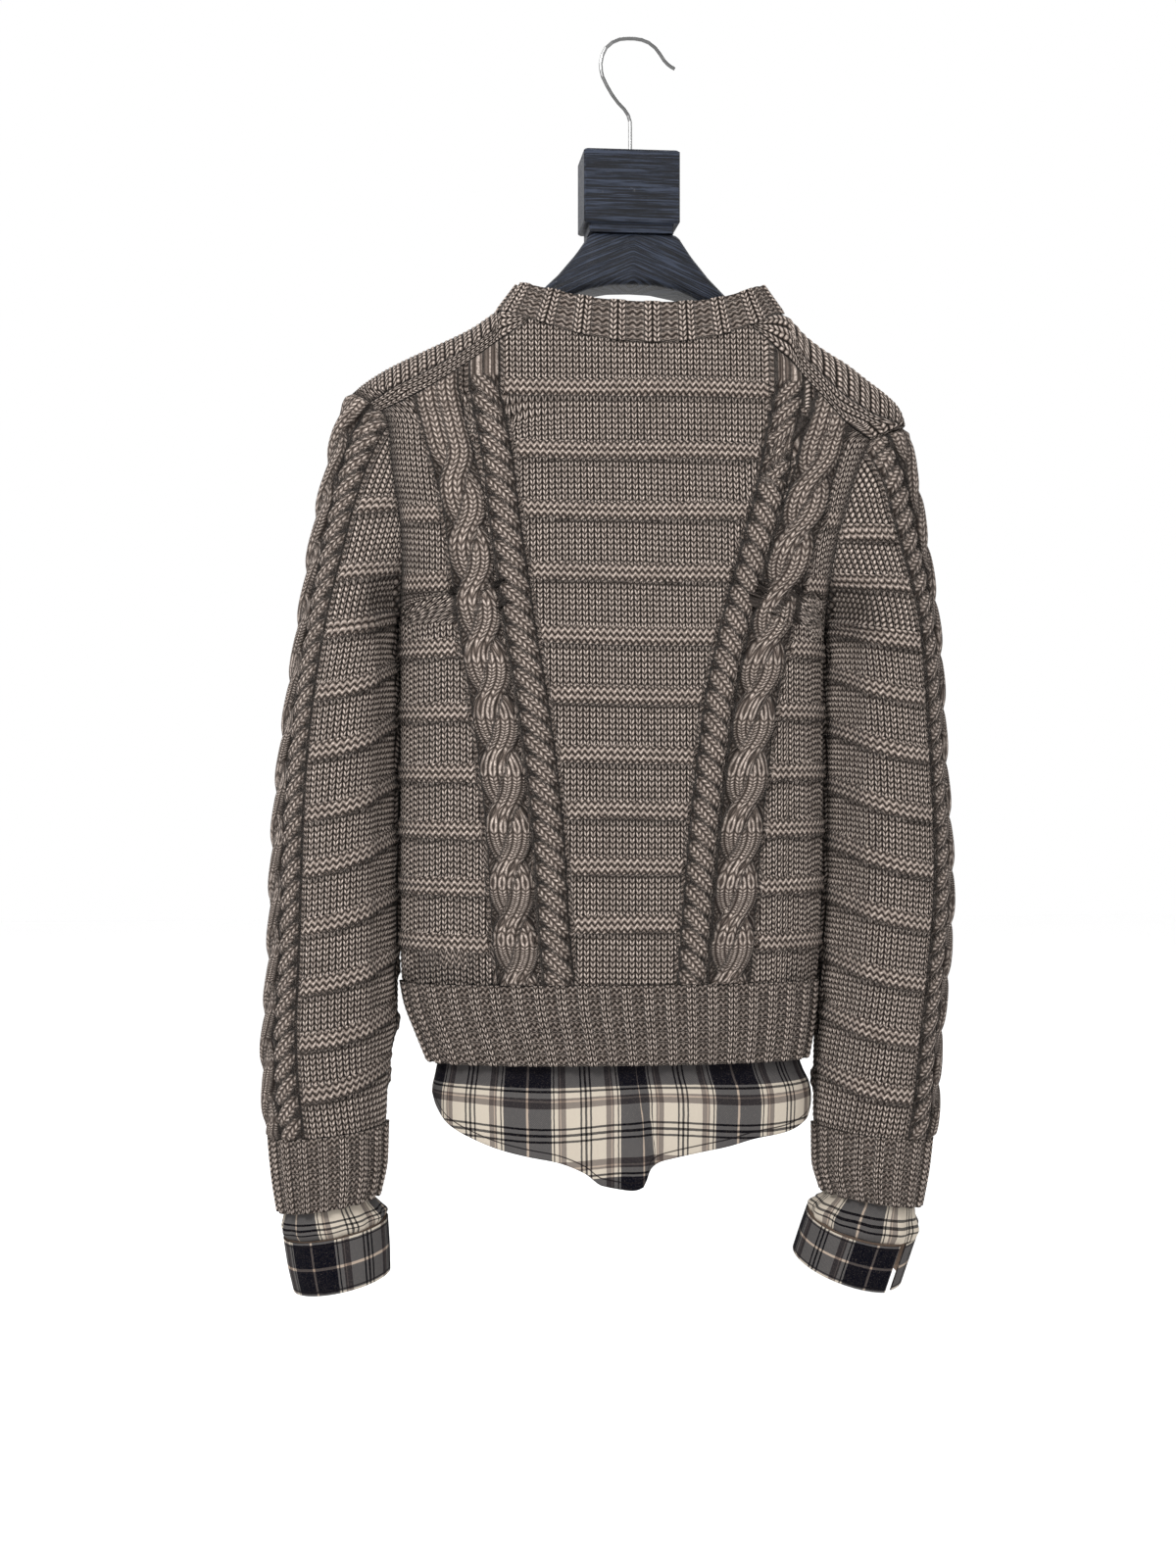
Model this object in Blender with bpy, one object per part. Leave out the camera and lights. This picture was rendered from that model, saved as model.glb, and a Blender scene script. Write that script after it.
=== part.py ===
"""Cable-knit pullover with a shirt tail and shirt cuffs sewn in, hung on a wooden block hanger.

Metres, +Z up. The garment's back faces -Y, its left and right are those of a viewer who looks at
the back. Tables are in millimetres. Their height zero is the middle of the hook's eye, and
HOOK_SEAT_DROP moves everything down so that the origin is where the hook is held.
"""
import functools
import math

import bpy
import numpy as np

MM = 0.001
HOOK_SEAT_DROP = 9.5
SEAM_HALF = 0.18
KNIT_WALL = 3.0
SHIRT_WALL = 1.2
RIDGE_RADIUS = 20.0
ARM_RIDGE_LEFT = 16.1
ARM_RIDGE_RIGHT = 12.6
OVAL_FULLNESS = 0.25

RIB_RISE = 2.4
PANEL_RISE = 0.7
GARTER_RISE = 2.5
ROPE_CREST = 3.6
ROPE_VALLEY = 1.6
BRAID_CREST = 3.9
BRAID_GROOVE = 1.9

GARTER_HALF = 8.0
ROPE_HALF = 11.5
ROPE_LOBE = 16.4
ROPE_LEAN = 0.8
ROPE_LINE = 0.45
BRAID_HALF = 15.5
BRAID_PITCH = 42.5
BRAID_LINE = 0.55
BRAID_LEAN = 9.0
GUTTER_RISE = 0.2
CABLE_LINES = {"rope": (-1, -ROPE_LINE, ROPE_LINE, 1), "braid": (-1, -BRAID_LINE, 0, BRAID_LINE, 1)}
ROPE_START = -262.0
BRAID_START = -294.0
# garter ridges that the side panels lack next to the shoulder
PLAIN_TOP = 2

EDGE_TRIM = 0.002
STRIP_SHARE = 0.6
STRIP_RISE = 1.0
STRIP_GAP = 0.9
# columns of each shoulder strip from the armhole to the neck: x, and how far it reaches up to the band
STRIP_LEFT = ((-197, 0), (-184, 0), (-170, 0), (-156, 0), (-142, 0), (-130, 0), (-119, 0), (-112.4, 0),
              (-108.5, 0.4), (-105.2, 0.9), (-98, 1), (-93, 1), (-88, 1))
STRIP_RIGHT = ((186, 0), (176, 0), (166, 0), (156, 0), (147, 0), (138, 0), (130, 0), (126.5, 0.4),
               (121, 0.85), (112.5, 1), (104, 1), (97, 1))
BESIDE_NECK_TURN = -3.0
OVER_LEFT, OVER_RIGHT = -105.9, 120.6
OVER_TURNS = (-70, -45, -20, 5, 30, 60, 90)
# lines of the centre between the ropes: share of the way across, and whether it runs to the hem
CENTRE_LINES = ((0.03, False), (0.07, False), (0.14, True), (0.26, False), (0.38, True), (0.5, False),
                (0.62, True), (0.74, False), (0.86, True), (0.93, False), (0.97, False))
SHORT_END = -330.0
SHOULDER_ROWS = (-287, -305, -321, -343, -372)
ARMPIT_ROWS = (-410, -426, -440, -455, -472)
NECK_GAP_BACK, NECK_GAP_FRONT = 0.5, 0.9

HEM_RIBS, CUFF_RIBS, NECK_RIBS = 46, 18, 21
GATHERS = 11
SLEEVE_TRIM = 0.001
CAP_GAP = 0.7
# cables round a sleeve: place of the middle, half width, kind
SLEEVE_CABLES = ((-0.262, 0.07, "rope"), (-0.08, 0.095, "braid"), (0.102, 0.07, "rope"))

# shoulder line of the panels, from the left tip to the right tip: x, height
RIDGE = np.array([
    (-219, -272.9), (-203, -261), (-188, -252), (-158, -237), (-127, -221.5), (-112, -211),
    (-105, -206), (-90, -200), (-60, -195), (0, -193), (60, -195), (105, -198), (121, -206),
    (137, -222), (153, -233.5), (169, -243), (185, -255), (200, -266), (210, -276), (217, -293),
])
# left and right side of the body: height, x, depth of the panel's edge from the middle plane
LEFT_SIDE = np.array([
    (-272.9, -219, 22), (-289, -197, 22), (-299, -191.8, 28), (-325, -189.8, 36),
    (-340, -188.2, 39), (-364, -184.5, 42), (-383, -182.2, 42), (-404, -181.6, 39),
    (-424, -181.8, 31), (-441, -182.3, 19), (-450, -182.7, 8), (-454, -182.7, 0),
    (-472, -181.4, 0), (-500, -181.2, 0), (-600, -181.2, 0), (-700, -181.0, 0), (-729, -180, 0),
    (-740, -179, 0),
])
RIGHT_SIDE = np.array([
    (-293, 217, 22), (-305.6, 186, 22), (-320, 178.2, 28), (-343, 168.6, 36),
    (-367, 160.6, 42), (-388, 154.8, 42), (-408, 152.0, 38), (-425, 151.0, 30),
    (-440, 151.4, 19), (-449, 151.8, 8), (-453, 151.8, 0),
    (-471, 150.6, 0), (-500, 150.5, 0), (-600, 150.2, 0), (-700, 148, 0), (-729, 146, 0), (-740, 144.5, 0),
])
# depth of the body in front of and behind the middle plane: height, back, front
BODY_DEPTH = np.array([
    (-187, 24, 24), (-233, 31, 31), (-272, 36, 34), (-320, 42, 40), (-366, 48, 47),
    (-414, 54, 54), (-462, 59, 59), (-510, 62, 62), (-576, 64, 65), (-650, 64, 66), (-729, 62, 64),
    (-760, 61, 63),
])
# seam at the top of the back panel under the shoulder strips, outside the neck: x, height
BACK_TOP = np.array([
    (-197, -289), (-173.6, -278), (-151, -265), (-128.6, -250), (-110, -236.5), (-99, -229),
    (-94, -225), (-84, -217), (-78, -190), (86, -190), (91, -219), (97, -224), (107, -233),
    (113, -239), (120, -244.5),
    (135, -261.5), (150, -276.6), (165, -293), (186, -305.6),
])
# middle of each cable of the back: height, left braid, left rope, right rope, right braid
CABLES = np.array([
    (-272, -155, -118, 119, 158), (-306, -148, -112, 112, 147), (-332, -141.5, -108, 107, 139),
    (-366, -133.7, -104.5, 98, 128), (-397, -129.5, -100.3, 89, 118.5),
    (-427, -125.4, -96, 81, 110.4), (-455, -121.9, -92.5, 73, 102.4), (-501, -114.6, -85, 62, 91.5),
    (-556, -107, -77.5, 54, 83.5), (-613, -101.2, -71.5, 47.5, 77), (-687, -96.6, -67, 41.5, 71),
    (-729, -92.6, -63, 38.5, 68),
])
# garter ridges of the centre panel, and how much lower each one lies at the sides: height, sag
GARTERS = np.array([
    (-269.8, 0), (-319, 0), (-366, 4), (-413.7, 7), (-462.6, 9), (-508.2, 12), (-553.7, 13),
    (-596, 14), (-638.5, 15), (-682.5, 14),
])
# sleeves: height and x of the outer edge, height of the inner edge, x of the inner edge, depth
SLEEVE_LEFT = np.array([
    (-272.9, -219, -289, -197, 22), (-294, -228, -301, -192, 29.5), (-324, -234, -325, -190, 39),
    (-347, -239, -345, -188, 44), (-370, -243.5, -364, -184.5, 48), (-408, -250, -398, -183, 53),
    (-437, -255, -425, -183.5, 56), (-466, -260, -454, -183.0, 57), (-484, -262.6, -472, -184.2, 57.5),
    (-500, -265, -487, -184.6, 58),
    (-576, -272.6, -562, -184.6, 59), (-652, -278, -637, -184.6, 58), (-729, -282, -713, -184.4, 56),
    (-772, -284.5, -757, -184.3, 54), (-812, -283.4, -798, -191, 51), (-848, -282, -838, -193, 47),
    (-880, -279, -868, -194, 44), (-906, -275, -893.5, -199, 42),
])
SLEEVE_RIGHT = np.array([
    (-293, 217, -305.6, 186, 22), (-315, 220.5, -318, 179, 29), (-343, 225.5, -343, 168.6, 39),
    (-366, 229, -364, 161.6, 44), (-389, 232, -386, 155, 48), (-420, 235.5, -413, 153.5, 53),
    (-445, 238.5, -435, 153.6, 56), (-464, 240.5, -453, 152.2, 57), (-483, 242.2, -472, 153.6, 57.5),
    (-498, 243.5, -487, 154, 58),
    (-576, 248, -563, 154, 59), (-654, 250.5, -640, 153.5, 58), (-731, 247.5, -717, 150.4, 56),
    (-776, 243.5, -762, 148.3, 54), (-817, 241, -803, 147, 51), (-856, 238, -845, 146.5, 47),
    (-885, 234.5, -874, 146.8, 44), (-910, 229.5, -897.5, 153, 42),
])
SLEEVE_GARTERS_LEFT = (-369, -421, -463, -510, -554.5, -601, -643, -688, -734, -776, -815.5)
SLEEVE_GARTERS_RIGHT = (-384, -425, -469, -511, -556, -602, -646, -688, -735, -779, -823)
# rib at the hem, and the shirt tail inside and under it: height, middle, half width, back, front
HEM = np.array([
    (-729, -17, 163, 62, 64), (-745, -16, 161, 62.5, 64.5), (-768, -13, 155.5, 60.5, 62.5),
    (-791, -10.3, 149, 58, 60),
])
TAIL = np.array([
    (-772, -12.5, 149.4, 55.6, 57.6), (-791, -10.3, 143.0, 51.5, 53.5), (-800, -9.5, 145, 53, 54),
    (-812, -8.0, 149, 55, 55), (-822, -7.6, 150, 56, 56), (-845, -7.8, 149, 57.5, 56),
    (-890, -8, 147, 58.5, 56),
])
# bottom edge of the shirt tails: x, height at the back, height at the front
TAIL_HEM = np.array([
    (-158, -816, -816), (-155, -825, -822), (-147, -837, -829), (-129, -847, -837),
    (-107, -855, -843), (-85, -860, -848), (-63, -864, -852), (-41, -872.5, -855),
    (-27, -882, -857), (-5, -885, -858), (6.5, -881.5, -857), (10, -870.5, -857),
    (27, -862.5, -855), (50, -858.5, -852), (74, -855, -848), (98, -849.5, -842),
    (123, -846, -835), (143, -838, -827), (150.5, -822, -820),
])
# neck opening where the band is sewn on: its middle and half width, its drop below the shoulders
NECK_MID, NECK_HALF = 6.5, 111.5
NECK_DROP_BACK, NECK_DROP_FRONT, NECK_ROUND = 40.0, 98.0, 1.6
BAND_RISE_BACK, BAND_RISE_SIDE, BAND_RISE_FRONT = 31.0, 20.0, 26.0
BAND_LEAN_SIDE, BAND_LEAN_BACK = 15.0, 2.0
# gathered ends of the shirt sleeves and their cuff bands:
# middle x, height, half width, depth, rise per x, rise per y
SHIRT_END_LEFT = np.array([
    (-237, -884, 33, 36, 0.15, 0.0), (-237, -899, 34.2, 38, 0.15, 0.0),
    (-235, -908, 38, 40, 0.16, 0.02), (-233, -914, 40, 41, 0.18, 0.05),
    (-232, -918.6, 38, 37.5, 0.19, 0.07),
])
BAND_LEFT = np.array([
    (-231.8, -919.2, 40.5, 40, 0.19, 0.07), (-229.5, -940, 39.5, 39.5, 0.2, 0.07),
    (-227, -960, 37.5, 38, 0.2, 0.08),
])
SHIRT_END_RIGHT = np.array([
    (191, -888, 33, 36, -0.16, 0.0), (191, -903, 34.4, 38, -0.16, 0.0),
    (188, -911.5, 39, 40, -0.17, 0.08), (186, -918, 43, 41, -0.19, 0.18),
    (184.7, -923.4, 42, 38, -0.2, 0.26),
])
BAND_RIGHT = np.array([
    (184.5, -924, 44.6, 41, -0.2, 0.26), (178.5, -941, 44.2, 40.5, -0.23, 0.27),
    (172.7, -958, 43.7, 40, -0.26, 0.28),
])
BAND_RIGHT_START, BAND_RIGHT_TURN = 30.0, -342.0
# wooden arms inside the shoulders: x, top, bottom, half depth
ARMS = np.array([
    (-193, -260.7, -284, 8), (-184, -254.9, -281, 9.5), (-170, -247.9, -275, 11),
    (-150, -237.9, -264, 11.5), (-125, -225.1, -249, 12), (-107, -217.5, -237, 9), (-92, -206, -225, 11),
    (-77, -195.5, -212, 17), (-60, -180, -203, 21), (-46, -163.5, -195, 22.5),
    (-36, -149, -191, 23.5), (-33, -147.4, -190.5, 24), (-18, -147.4, -187.6, 24),
    (0, -147.4, -187, 24), (16, -147.4, -187.6, 24), (31, -147.4, -190.5, 24),
    (34, -149, -191, 23.5), (44, -163.5, -195, 22.5), (58, -180, -203, 21),
    (75, -195.5, -212, 17), (92, -208, -225, 11), (108, -213.6, -237, 9),
    (124, -222, -249, 12), (150, -236.6, -264, 11.5), (168, -248.2, -276, 11),
    (180, -258.5, -285, 9.5), (188, -267, -290, 8),
])
# block and the narrower neck under it: height, half width, half depth
BLOCK_MID = -3.0
BLOCK = np.array([
    (-83, 36.3, 24.3), (-84.2, 37.5, 25.5), (-138.8, 37.5, 25.5), (-140, 36.3, 24.3),
    (-140, 33, 22), (-147, 33, 22),
])
BLOCK_CORNER = 1.5
# wire of the hook, drawn in its plane: x, height
HOOK_WIRE = np.array([
    (-1.5, -82.7), (-1.5, -62), (-1.6, -54), (-5, -46.5), (-12, -39), (-19, -28.5),
    (-24, -17.5), (-24.9, -10), (-22.5, 0), (-15.5, 7.5), (-6, 10.7), (3, 10.8), (12, 8.6),
    (20, 2.5), (25, -5), (29.5, -9.5), (34, -12),
])
HOOK_RADIUS = 1.5


def follow(table, column, at):
    """Smooth curve through one column of a table, read at heights or places of its first column."""
    keys, values = table[:, 0].astype(float), table[:, column].astype(float)
    if keys[0] > keys[-1]:
        keys, values = keys[::-1], values[::-1]
    at = np.clip(np.asarray(at, float), keys[0], keys[-1])
    slope = np.diff(values) / np.diff(keys)
    tangent = np.zeros_like(values)
    same_way = slope[1:] * slope[:-1] > 0
    mean = 2 * slope[1:] * slope[:-1] / np.where(same_way, slope[1:] + slope[:-1], 1)
    tangent[1:-1] = np.where(same_way, mean, 0)
    tangent[0], tangent[-1] = slope[0], slope[-1]
    i = np.clip(np.searchsorted(keys, at) - 1, 0, len(keys) - 2)
    width = keys[i + 1] - keys[i]
    f = (at - keys[i]) / width
    start = values[i] * (1 + 2 * f) + tangent[i] * width * f
    end = values[i + 1] * (3 - 2 * f) + tangent[i + 1] * width * (f - 1)
    return start * (1 - f) ** 2 + end * f ** 2


def smooth(low, high, value):
    """0 at low, 1 at high, and a soft curve between."""
    f = np.clip((np.asarray(value, float) - low) / (high - low), 0, 1)
    return f * f * (3 - 2 * f)


# ---- form of the body: s runs from the left side (-1) to the right side (1) ----

def side_x(table, z):
    """x of one side of the body; straight across the end of the shoulder, then smooth."""
    (z0, x0, _), (z1, x1, _) = table[:2]
    straight = x1 + (x0 - x1) * np.clip((z - z1) / (z0 - z1), 0, 1)
    return np.where(np.asarray(z) > z1, straight, follow(table[1:], 1, z))


def body_edge(s, z):
    """Depth of the panel's edge on the side of s."""
    edge = np.where(s < 0, follow(LEFT_SIDE, 2, z), follow(RIGHT_SIDE, 2, z))
    return np.maximum(edge, 0.0)


def body_x(s, z, deep):
    left, right = side_x(LEFT_SIDE, z), side_x(RIGHT_SIDE, z)
    angle = s * math.pi / 2
    full = np.sin(angle) * (1 + OVAL_FULLNESS * np.cos(angle) ** 2)
    flat = np.sqrt(np.clip(body_edge(s, z) / deep, 0, 1))
    return (left + right) / 2 + (right - left) / 2 * (full * (1 - flat) + s * flat)


def ridge_table():
    """Height of the shoulder line for a row of s."""
    s = np.linspace(-1, 1, 801)
    z = np.full_like(s, -230.0)
    for _ in range(60):
        z = 0.5 * z + 0.5 * follow(RIDGE, 1, body_x(s, z, follow(BODY_DEPTH, 1, z)))
    return s, z


RIDGE_S, RIDGE_Z = ridge_table()


def ridge_height(s):
    return np.interp(s, RIDGE_S, RIDGE_Z)


def ridge_radius(s):
    tip = np.where(s < 0, ARM_RIDGE_LEFT, ARM_RIDGE_RIGHT)
    return RIDGE_RADIUS + (tip - RIDGE_RADIUS) * np.abs(s) ** 8


def way_down(s, z):
    """Length along the cloth from the shoulder line down to height z."""
    radius = ridge_radius(s)
    drop = np.maximum(ridge_height(s) - z, 0.0)
    bend = radius * np.arccos(np.clip(1 - drop / radius, -1, 1))
    return np.where(drop < radius, bend, drop - radius + radius * math.pi / 2)


def body_fold(s, z):
    """Soft hanging folds of the body, deeper towards the hem."""
    low = smooth(-430, -700, z)
    return low * (1.6 * np.sin(5.2 * s + 0.6) + 1.1 * np.sin(9.5 * s + 2.0)) * np.cos(s * math.pi / 2)


def body_point(s, w):
    """Point of the knit's face: w is the way over the shoulder line, negative at the back."""
    s, w = np.broadcast_arrays(np.asarray(s, float), np.asarray(w, float))
    radius = ridge_radius(s)
    turn = np.clip(w / radius, -math.pi / 2, math.pi / 2)
    over = np.maximum(np.abs(w) - radius * math.pi / 2, 0)
    z = ridge_height(s) - radius * (1 - np.cos(turn)) - over
    deep = np.where(w < 0, follow(BODY_DEPTH, 1, z), follow(BODY_DEPTH, 2, z))
    edge = np.minimum(body_edge(s, z), deep)
    depth = edge + (deep - edge) * np.cos(s * math.pi / 2) + body_fold(s, z)
    return np.stack([body_x(s, z, deep), depth * np.sin(turn), z], -1)


def normals(surface, u, v, du=0.002, dv=0.5):
    """Unit outward normals of a surface(u, v) whose u runs to the right of someone facing it."""
    along = surface(u + du, v) - surface(u - du, v)
    up = surface(u, v + dv) - surface(u, v - dv)
    out = np.cross(along, up)
    return out / np.maximum(np.linalg.norm(out, axis=-1, keepdims=True), 1e-9)


def level_end(out, row):
    """Turns one row's normals level, so that two pieces meet in a level cut."""
    out[row, 2] = 0.0
    out[row] /= max(float(np.linalg.norm(out[row])), 1e-9)
    return out


def armhole_inward(point, sign):
    """Direction through the cloth at an armhole: across the seam's own loop, then across the side."""
    x, y, z = point[..., 0], point[..., 1], point[..., 2]
    loop = np.stack([0 * x, -y / 42.0 ** 2, -(z + 364) / 91.0 ** 2], -1)
    loop /= np.maximum(np.linalg.norm(loop, axis=-1, keepdims=True), 1e-9)
    over = smooth(-345, -300, z) * np.clip(1 - (y / 30) ** 2, 0, 1)
    loop[..., 0] -= 1.2 * over * np.sign(x)
    side = np.stack([sign + 0 * x, 0 * x, 0 * x], -1)
    below = smooth(-425, -462, z)[..., None]
    mixed = loop * (1 - below) + side * below
    return mixed / np.linalg.norm(mixed, axis=-1, keepdims=True)


# ---- form of the sleeves: t runs from the back seam (-1) round the outside (0) to the front (1) ----

def sleeve_point(side, t, v):
    """Point of a sleeve's face; v is the height of the row at its outer edge."""
    t, v = np.broadcast_arrays(np.asarray(t, float), np.asarray(v, float))
    table, body = (SLEEVE_LEFT, LEFT_SIDE) if side < 0 else (SLEEVE_RIGHT, RIGHT_SIDE)
    armpit = body[np.argmin(np.where(body[:, 2] == 0, -body[:, 0], 1e9)), 0]
    inner_z = follow(table, 2, v)
    above = inner_z > armpit
    outer_x = follow(table, 1, v)
    inner_x = np.where(above, side_x(body, inner_z), follow(table, 3, v))
    edge = np.where(above, np.maximum(follow(body, 2, inner_z), 0), 0)
    deep = follow(table, 4, v)
    reach = math.pi - np.arcsin(np.clip(edge / deep, 0, 1))
    share = (1 - np.cos(reach * t)) / (1 - np.cos(reach))
    y = deep * np.sin(reach * t)
    x = outer_x + (inner_x - outer_x) * share
    return np.stack([x, y, v + (inner_z - v) * share], -1)


# ---- form of the rings: angle 0 at the back, 90 degrees at the right side ----

def oval_point(table, angle, z):
    """Point of the hem or the shirt tail, whose table has height, middle, half width and depths."""
    angle, z = np.broadcast_arrays(np.asarray(angle, float), np.asarray(z, float))
    full = np.sin(angle) * (1 + OVAL_FULLNESS * np.cos(angle) ** 2)
    deep = np.where(np.cos(angle) > 0, follow(table, 3, z), follow(table, 4, z))
    x = follow(table, 1, z) + follow(table, 2, z) * full
    return np.stack([x, -deep * np.cos(angle), z], -1)


def neck_seam(angle):
    """Line where the neckband meets the panels."""
    x = NECK_MID + NECK_HALF * np.sin(angle)
    drop = np.where(np.cos(angle) > 0, NECK_DROP_BACK, NECK_DROP_FRONT)
    return x, follow(RIDGE, 1, x) - drop * np.abs(np.cos(angle)) ** NECK_ROUND


def s_of_x(x, z):
    """The s at which the body's face has that x at that height."""
    low, high = np.full_like(x, -1.0), np.full_like(x, 1.0)
    deep = follow(BODY_DEPTH, 1, z)
    for _ in range(40):
        middle = (low + high) / 2
        less = body_x(middle, z, deep) < x
        low, high = np.where(less, middle, low), np.where(less, high, middle)
    return (low + high) / 2


def band_point(angle, rise):
    """Point of the neckband: rise 0 at its seam, 1 at its top edge."""
    angle, rise = np.broadcast_arrays(np.asarray(angle, float), np.asarray(rise, float))
    x = NECK_MID + NECK_HALF * np.sin(angle)
    y, z = np.zeros_like(x), np.zeros_like(x)
    for edge, part in ((neck_edge(False), np.cos(angle) > 0), (neck_edge(True), np.cos(angle) <= 0)):
        y = np.where(part, np.interp(x, edge[:, 0], edge[:, 1]), y)
        z = np.where(part, np.interp(x, edge[:, 0], edge[:, 2]), z)
    back, front = np.clip(np.cos(angle), 0, 1), np.clip(-np.cos(angle), 0, 1)
    side = np.abs(np.sin(angle)) ** 2
    height = BAND_RISE_BACK * back ** 2 + BAND_RISE_FRONT * front ** 2 + BAND_RISE_SIDE * side
    x = x - rise * BAND_LEAN_SIDE * side * np.sign(np.sin(angle))
    y = y * (1 - rise * BAND_LEAN_BACK * 0.02)
    return np.stack([x, y, z + height * rise], -1)


def cuff_point(table, angle, row):
    """Point of a shirt sleeve end or band; row counts down through its table."""
    angle, row = np.broadcast_arrays(np.asarray(angle, float), np.asarray(row, float))
    steps = np.column_stack([np.arange(len(table)), table])
    mid, z, half, deep, rise_x, rise_y = (follow(steps, c, row) for c in range(1, 7))
    across, away = half * np.sin(angle), -deep * np.cos(angle)
    return np.stack([mid + across, away, z + rise_x * across + rise_y * away], -1)


# ---- walls: lines of points, joined across, with a plain inside ----

class Wall:
    """Points and faces of one closed cloth wall, made of lines that run down it."""

    def __init__(self):
        self.points = []
        self.faces = []

    def line(self, points, along, across):
        """Adds a line of points with rising place numbers along it, and its own place across."""
        start = len(self.points)
        self.points.extend(np.asarray(points, float))
        return list(range(start, start + len(points))), list(along), across

    def join(self, a, b, flip=False):
        """Fills between two lines with triangles that stay level with their place numbers."""
        (ia, pa), (ib, pb) = a[:2], b[:2]
        i = j = 0
        while i < len(ia) - 1 or j < len(ib) - 1:
            step_a = j == len(ib) - 1
            if i < len(ia) - 1 and j < len(ib) - 1:
                step_a = pa[i + 1] + pa[i] <= pb[j + 1] + pb[j]
            face = (ia[i], ia[i + 1], ib[j]) if step_a else (ia[i], ib[j + 1], ib[j])
            i, j = (i + 1, j) if step_a else (i, j + 1)
            if len(set(face)) == 3:
                self.faces.append(face[::-1] if flip else face)

    def close(self, outer, inner, ring=False):
        """Joins the face lines, the inside lines and the rims between them."""
        for lines, flip in ((outer, False), (inner, True)):
            following = lines[1:] + lines[:1] if ring else lines[1:]
            for a, b in zip(lines, following):
                self.join(a, b, flip)
        for end, flip in ((0, False), (-1, True)):
            self.join(rim(outer, end, ring), rim(inner, end, ring), flip)
        if not ring:
            self.join(outer[0], inner[0], flip=True)
            self.join(outer[-1], inner[-1])

    def build(self, name, look, soft=False):
        points = np.array(self.points) - (0, 0, HOOK_SEAT_DROP)
        return make_object(name, points * MM, self.faces, look, soft)


def rim(lines, end, ring):
    """The row of points at one end of the lines."""
    index = [line[0][end] for line in lines]
    places = [line[2] for line in lines]
    if ring:
        index, places = index + index[:1], places + [places[0] + 1.0]
    return index, places


def make_object(name, points, faces, look, soft=False):
    mesh = bpy.data.meshes.new(name)
    mesh.from_pydata([tuple(p) for p in points], [], faces)
    mesh.validate()
    if soft:
        mesh.shade_smooth()
    obj = bpy.data.objects.new(name, mesh)
    obj.data.materials.append(material(*look))
    bpy.context.scene.collection.objects.link(obj)
    return obj


def material(name, colour, roughness, metallic=0.0):
    found = bpy.data.materials.get(name)
    if found:
        return found
    made = bpy.data.materials.new(name)
    made.use_nodes = True
    shader = made.node_tree.nodes["Principled BSDF"]
    shader.inputs["Base Color"].default_value = (*colour, 1.0)
    shader.inputs["Roughness"].default_value = roughness
    shader.inputs["Metallic"].default_value = metallic
    return made


KNIT = ("knit_wool", (0.185, 0.148, 0.122), 0.9)
SHIRT = ("shirt_cotton", (0.52, 0.48, 0.42), 0.85)
WOOD = ("hanger_wood", (0.012, 0.014, 0.02), 0.6)
STEEL = ("hook_steel", (0.42, 0.42, 0.42), 0.3, 1.0)


# ---- rows of the relief: height down the garment and rise of the face ----

def garter_rows(heights):
    """Foot, crest and foot of each garter ridge."""
    steps = ((GARTER_HALF, PANEL_RISE), (0, GARTER_RISE), (-GARTER_HALF, PANEL_RISE))
    return [(height + step, rise) for height in heights for step, rise in steps]


def rope_rows(top, bottom, place):
    """Crests and valleys of a rope's lobes, on a line at that place across it from -1 to 1."""
    shift = -ROPE_LEAN * place * ROPE_HALF
    round_off = 1 - 0.2 * place ** 2
    rows = []
    for z in np.arange(top + ROPE_LOBE, bottom - ROPE_LOBE, -ROPE_LOBE):
        rows += [(z + shift, ROPE_CREST * round_off),
                 (z - ROPE_LOBE / 2 + shift, ROPE_VALLEY * round_off)]
    return rows


def braid_rows(top, bottom, place):
    """Rows of the wide cable, whose two strands cross once in each pitch."""
    rows = []
    for z in np.arange(top + BRAID_PITCH, bottom - BRAID_PITCH, -BRAID_PITCH):
        for quarter in range(4):
            crossing = 0.5 + 0.5 * math.cos(math.pi * quarter / 2)
            middle = BRAID_GROOVE + (BRAID_CREST - BRAID_GROOVE) * crossing
            edge = BRAID_CREST - 1.4 * crossing
            rise = middle + (edge - middle) * min(abs(place) / BRAID_LINE, 1)
            lean = BRAID_LEAN * place * crossing
            rows.append((z - quarter * BRAID_PITCH / 4 + lean, rise))
    return rows


def between(rows, top, bottom, margin, first, last):
    """The rows between a line's ends, with the two ends added."""
    inside = [row for row in sorted(rows, reverse=True) if bottom + margin < row[0] < top - margin]
    return [(top, first)] + inside + [(bottom, last)]


# ---- lines down the body ----

EDGE, PANEL, CENTRE, GUTTER, ROPE, BRAID, FIXED = "edge panel centre gutter rope braid fixed".split()
CABLE_PLAN = ((1, BRAID_HALF, BRAID), (2, ROPE_HALF, ROPE), (3, ROPE_HALF, ROPE), (4, BRAID_HALF, BRAID))


LEVELS = np.linspace(-760.0, -190.0, 191)
HEM_SEAM = -729.0


class Line:
    """A line down a panel: its kind, its place across a cable, and its s at each height."""

    def __init__(self, kind, place=0.0, column=0, offset=0.0, between=None):
        self.kind, self.place, self.offset = kind, place, offset
        self.whole = True
        self.beside_cable = False
        if kind == EDGE:
            self.levels = np.full_like(LEVELS, offset)
        elif between:
            low, high, share = between
            self.levels = low.levels * (1 - share) + high.levels * share
        elif kind == FIXED:
            self.levels = s_of_x(np.full_like(LEVELS, offset), LEVELS)
        else:
            self.levels = s_of_x(follow(CABLES, column, LEVELS) + offset, LEVELS)

    def s(self, z):
        return np.interp(z, LEVELS, self.levels)


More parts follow.
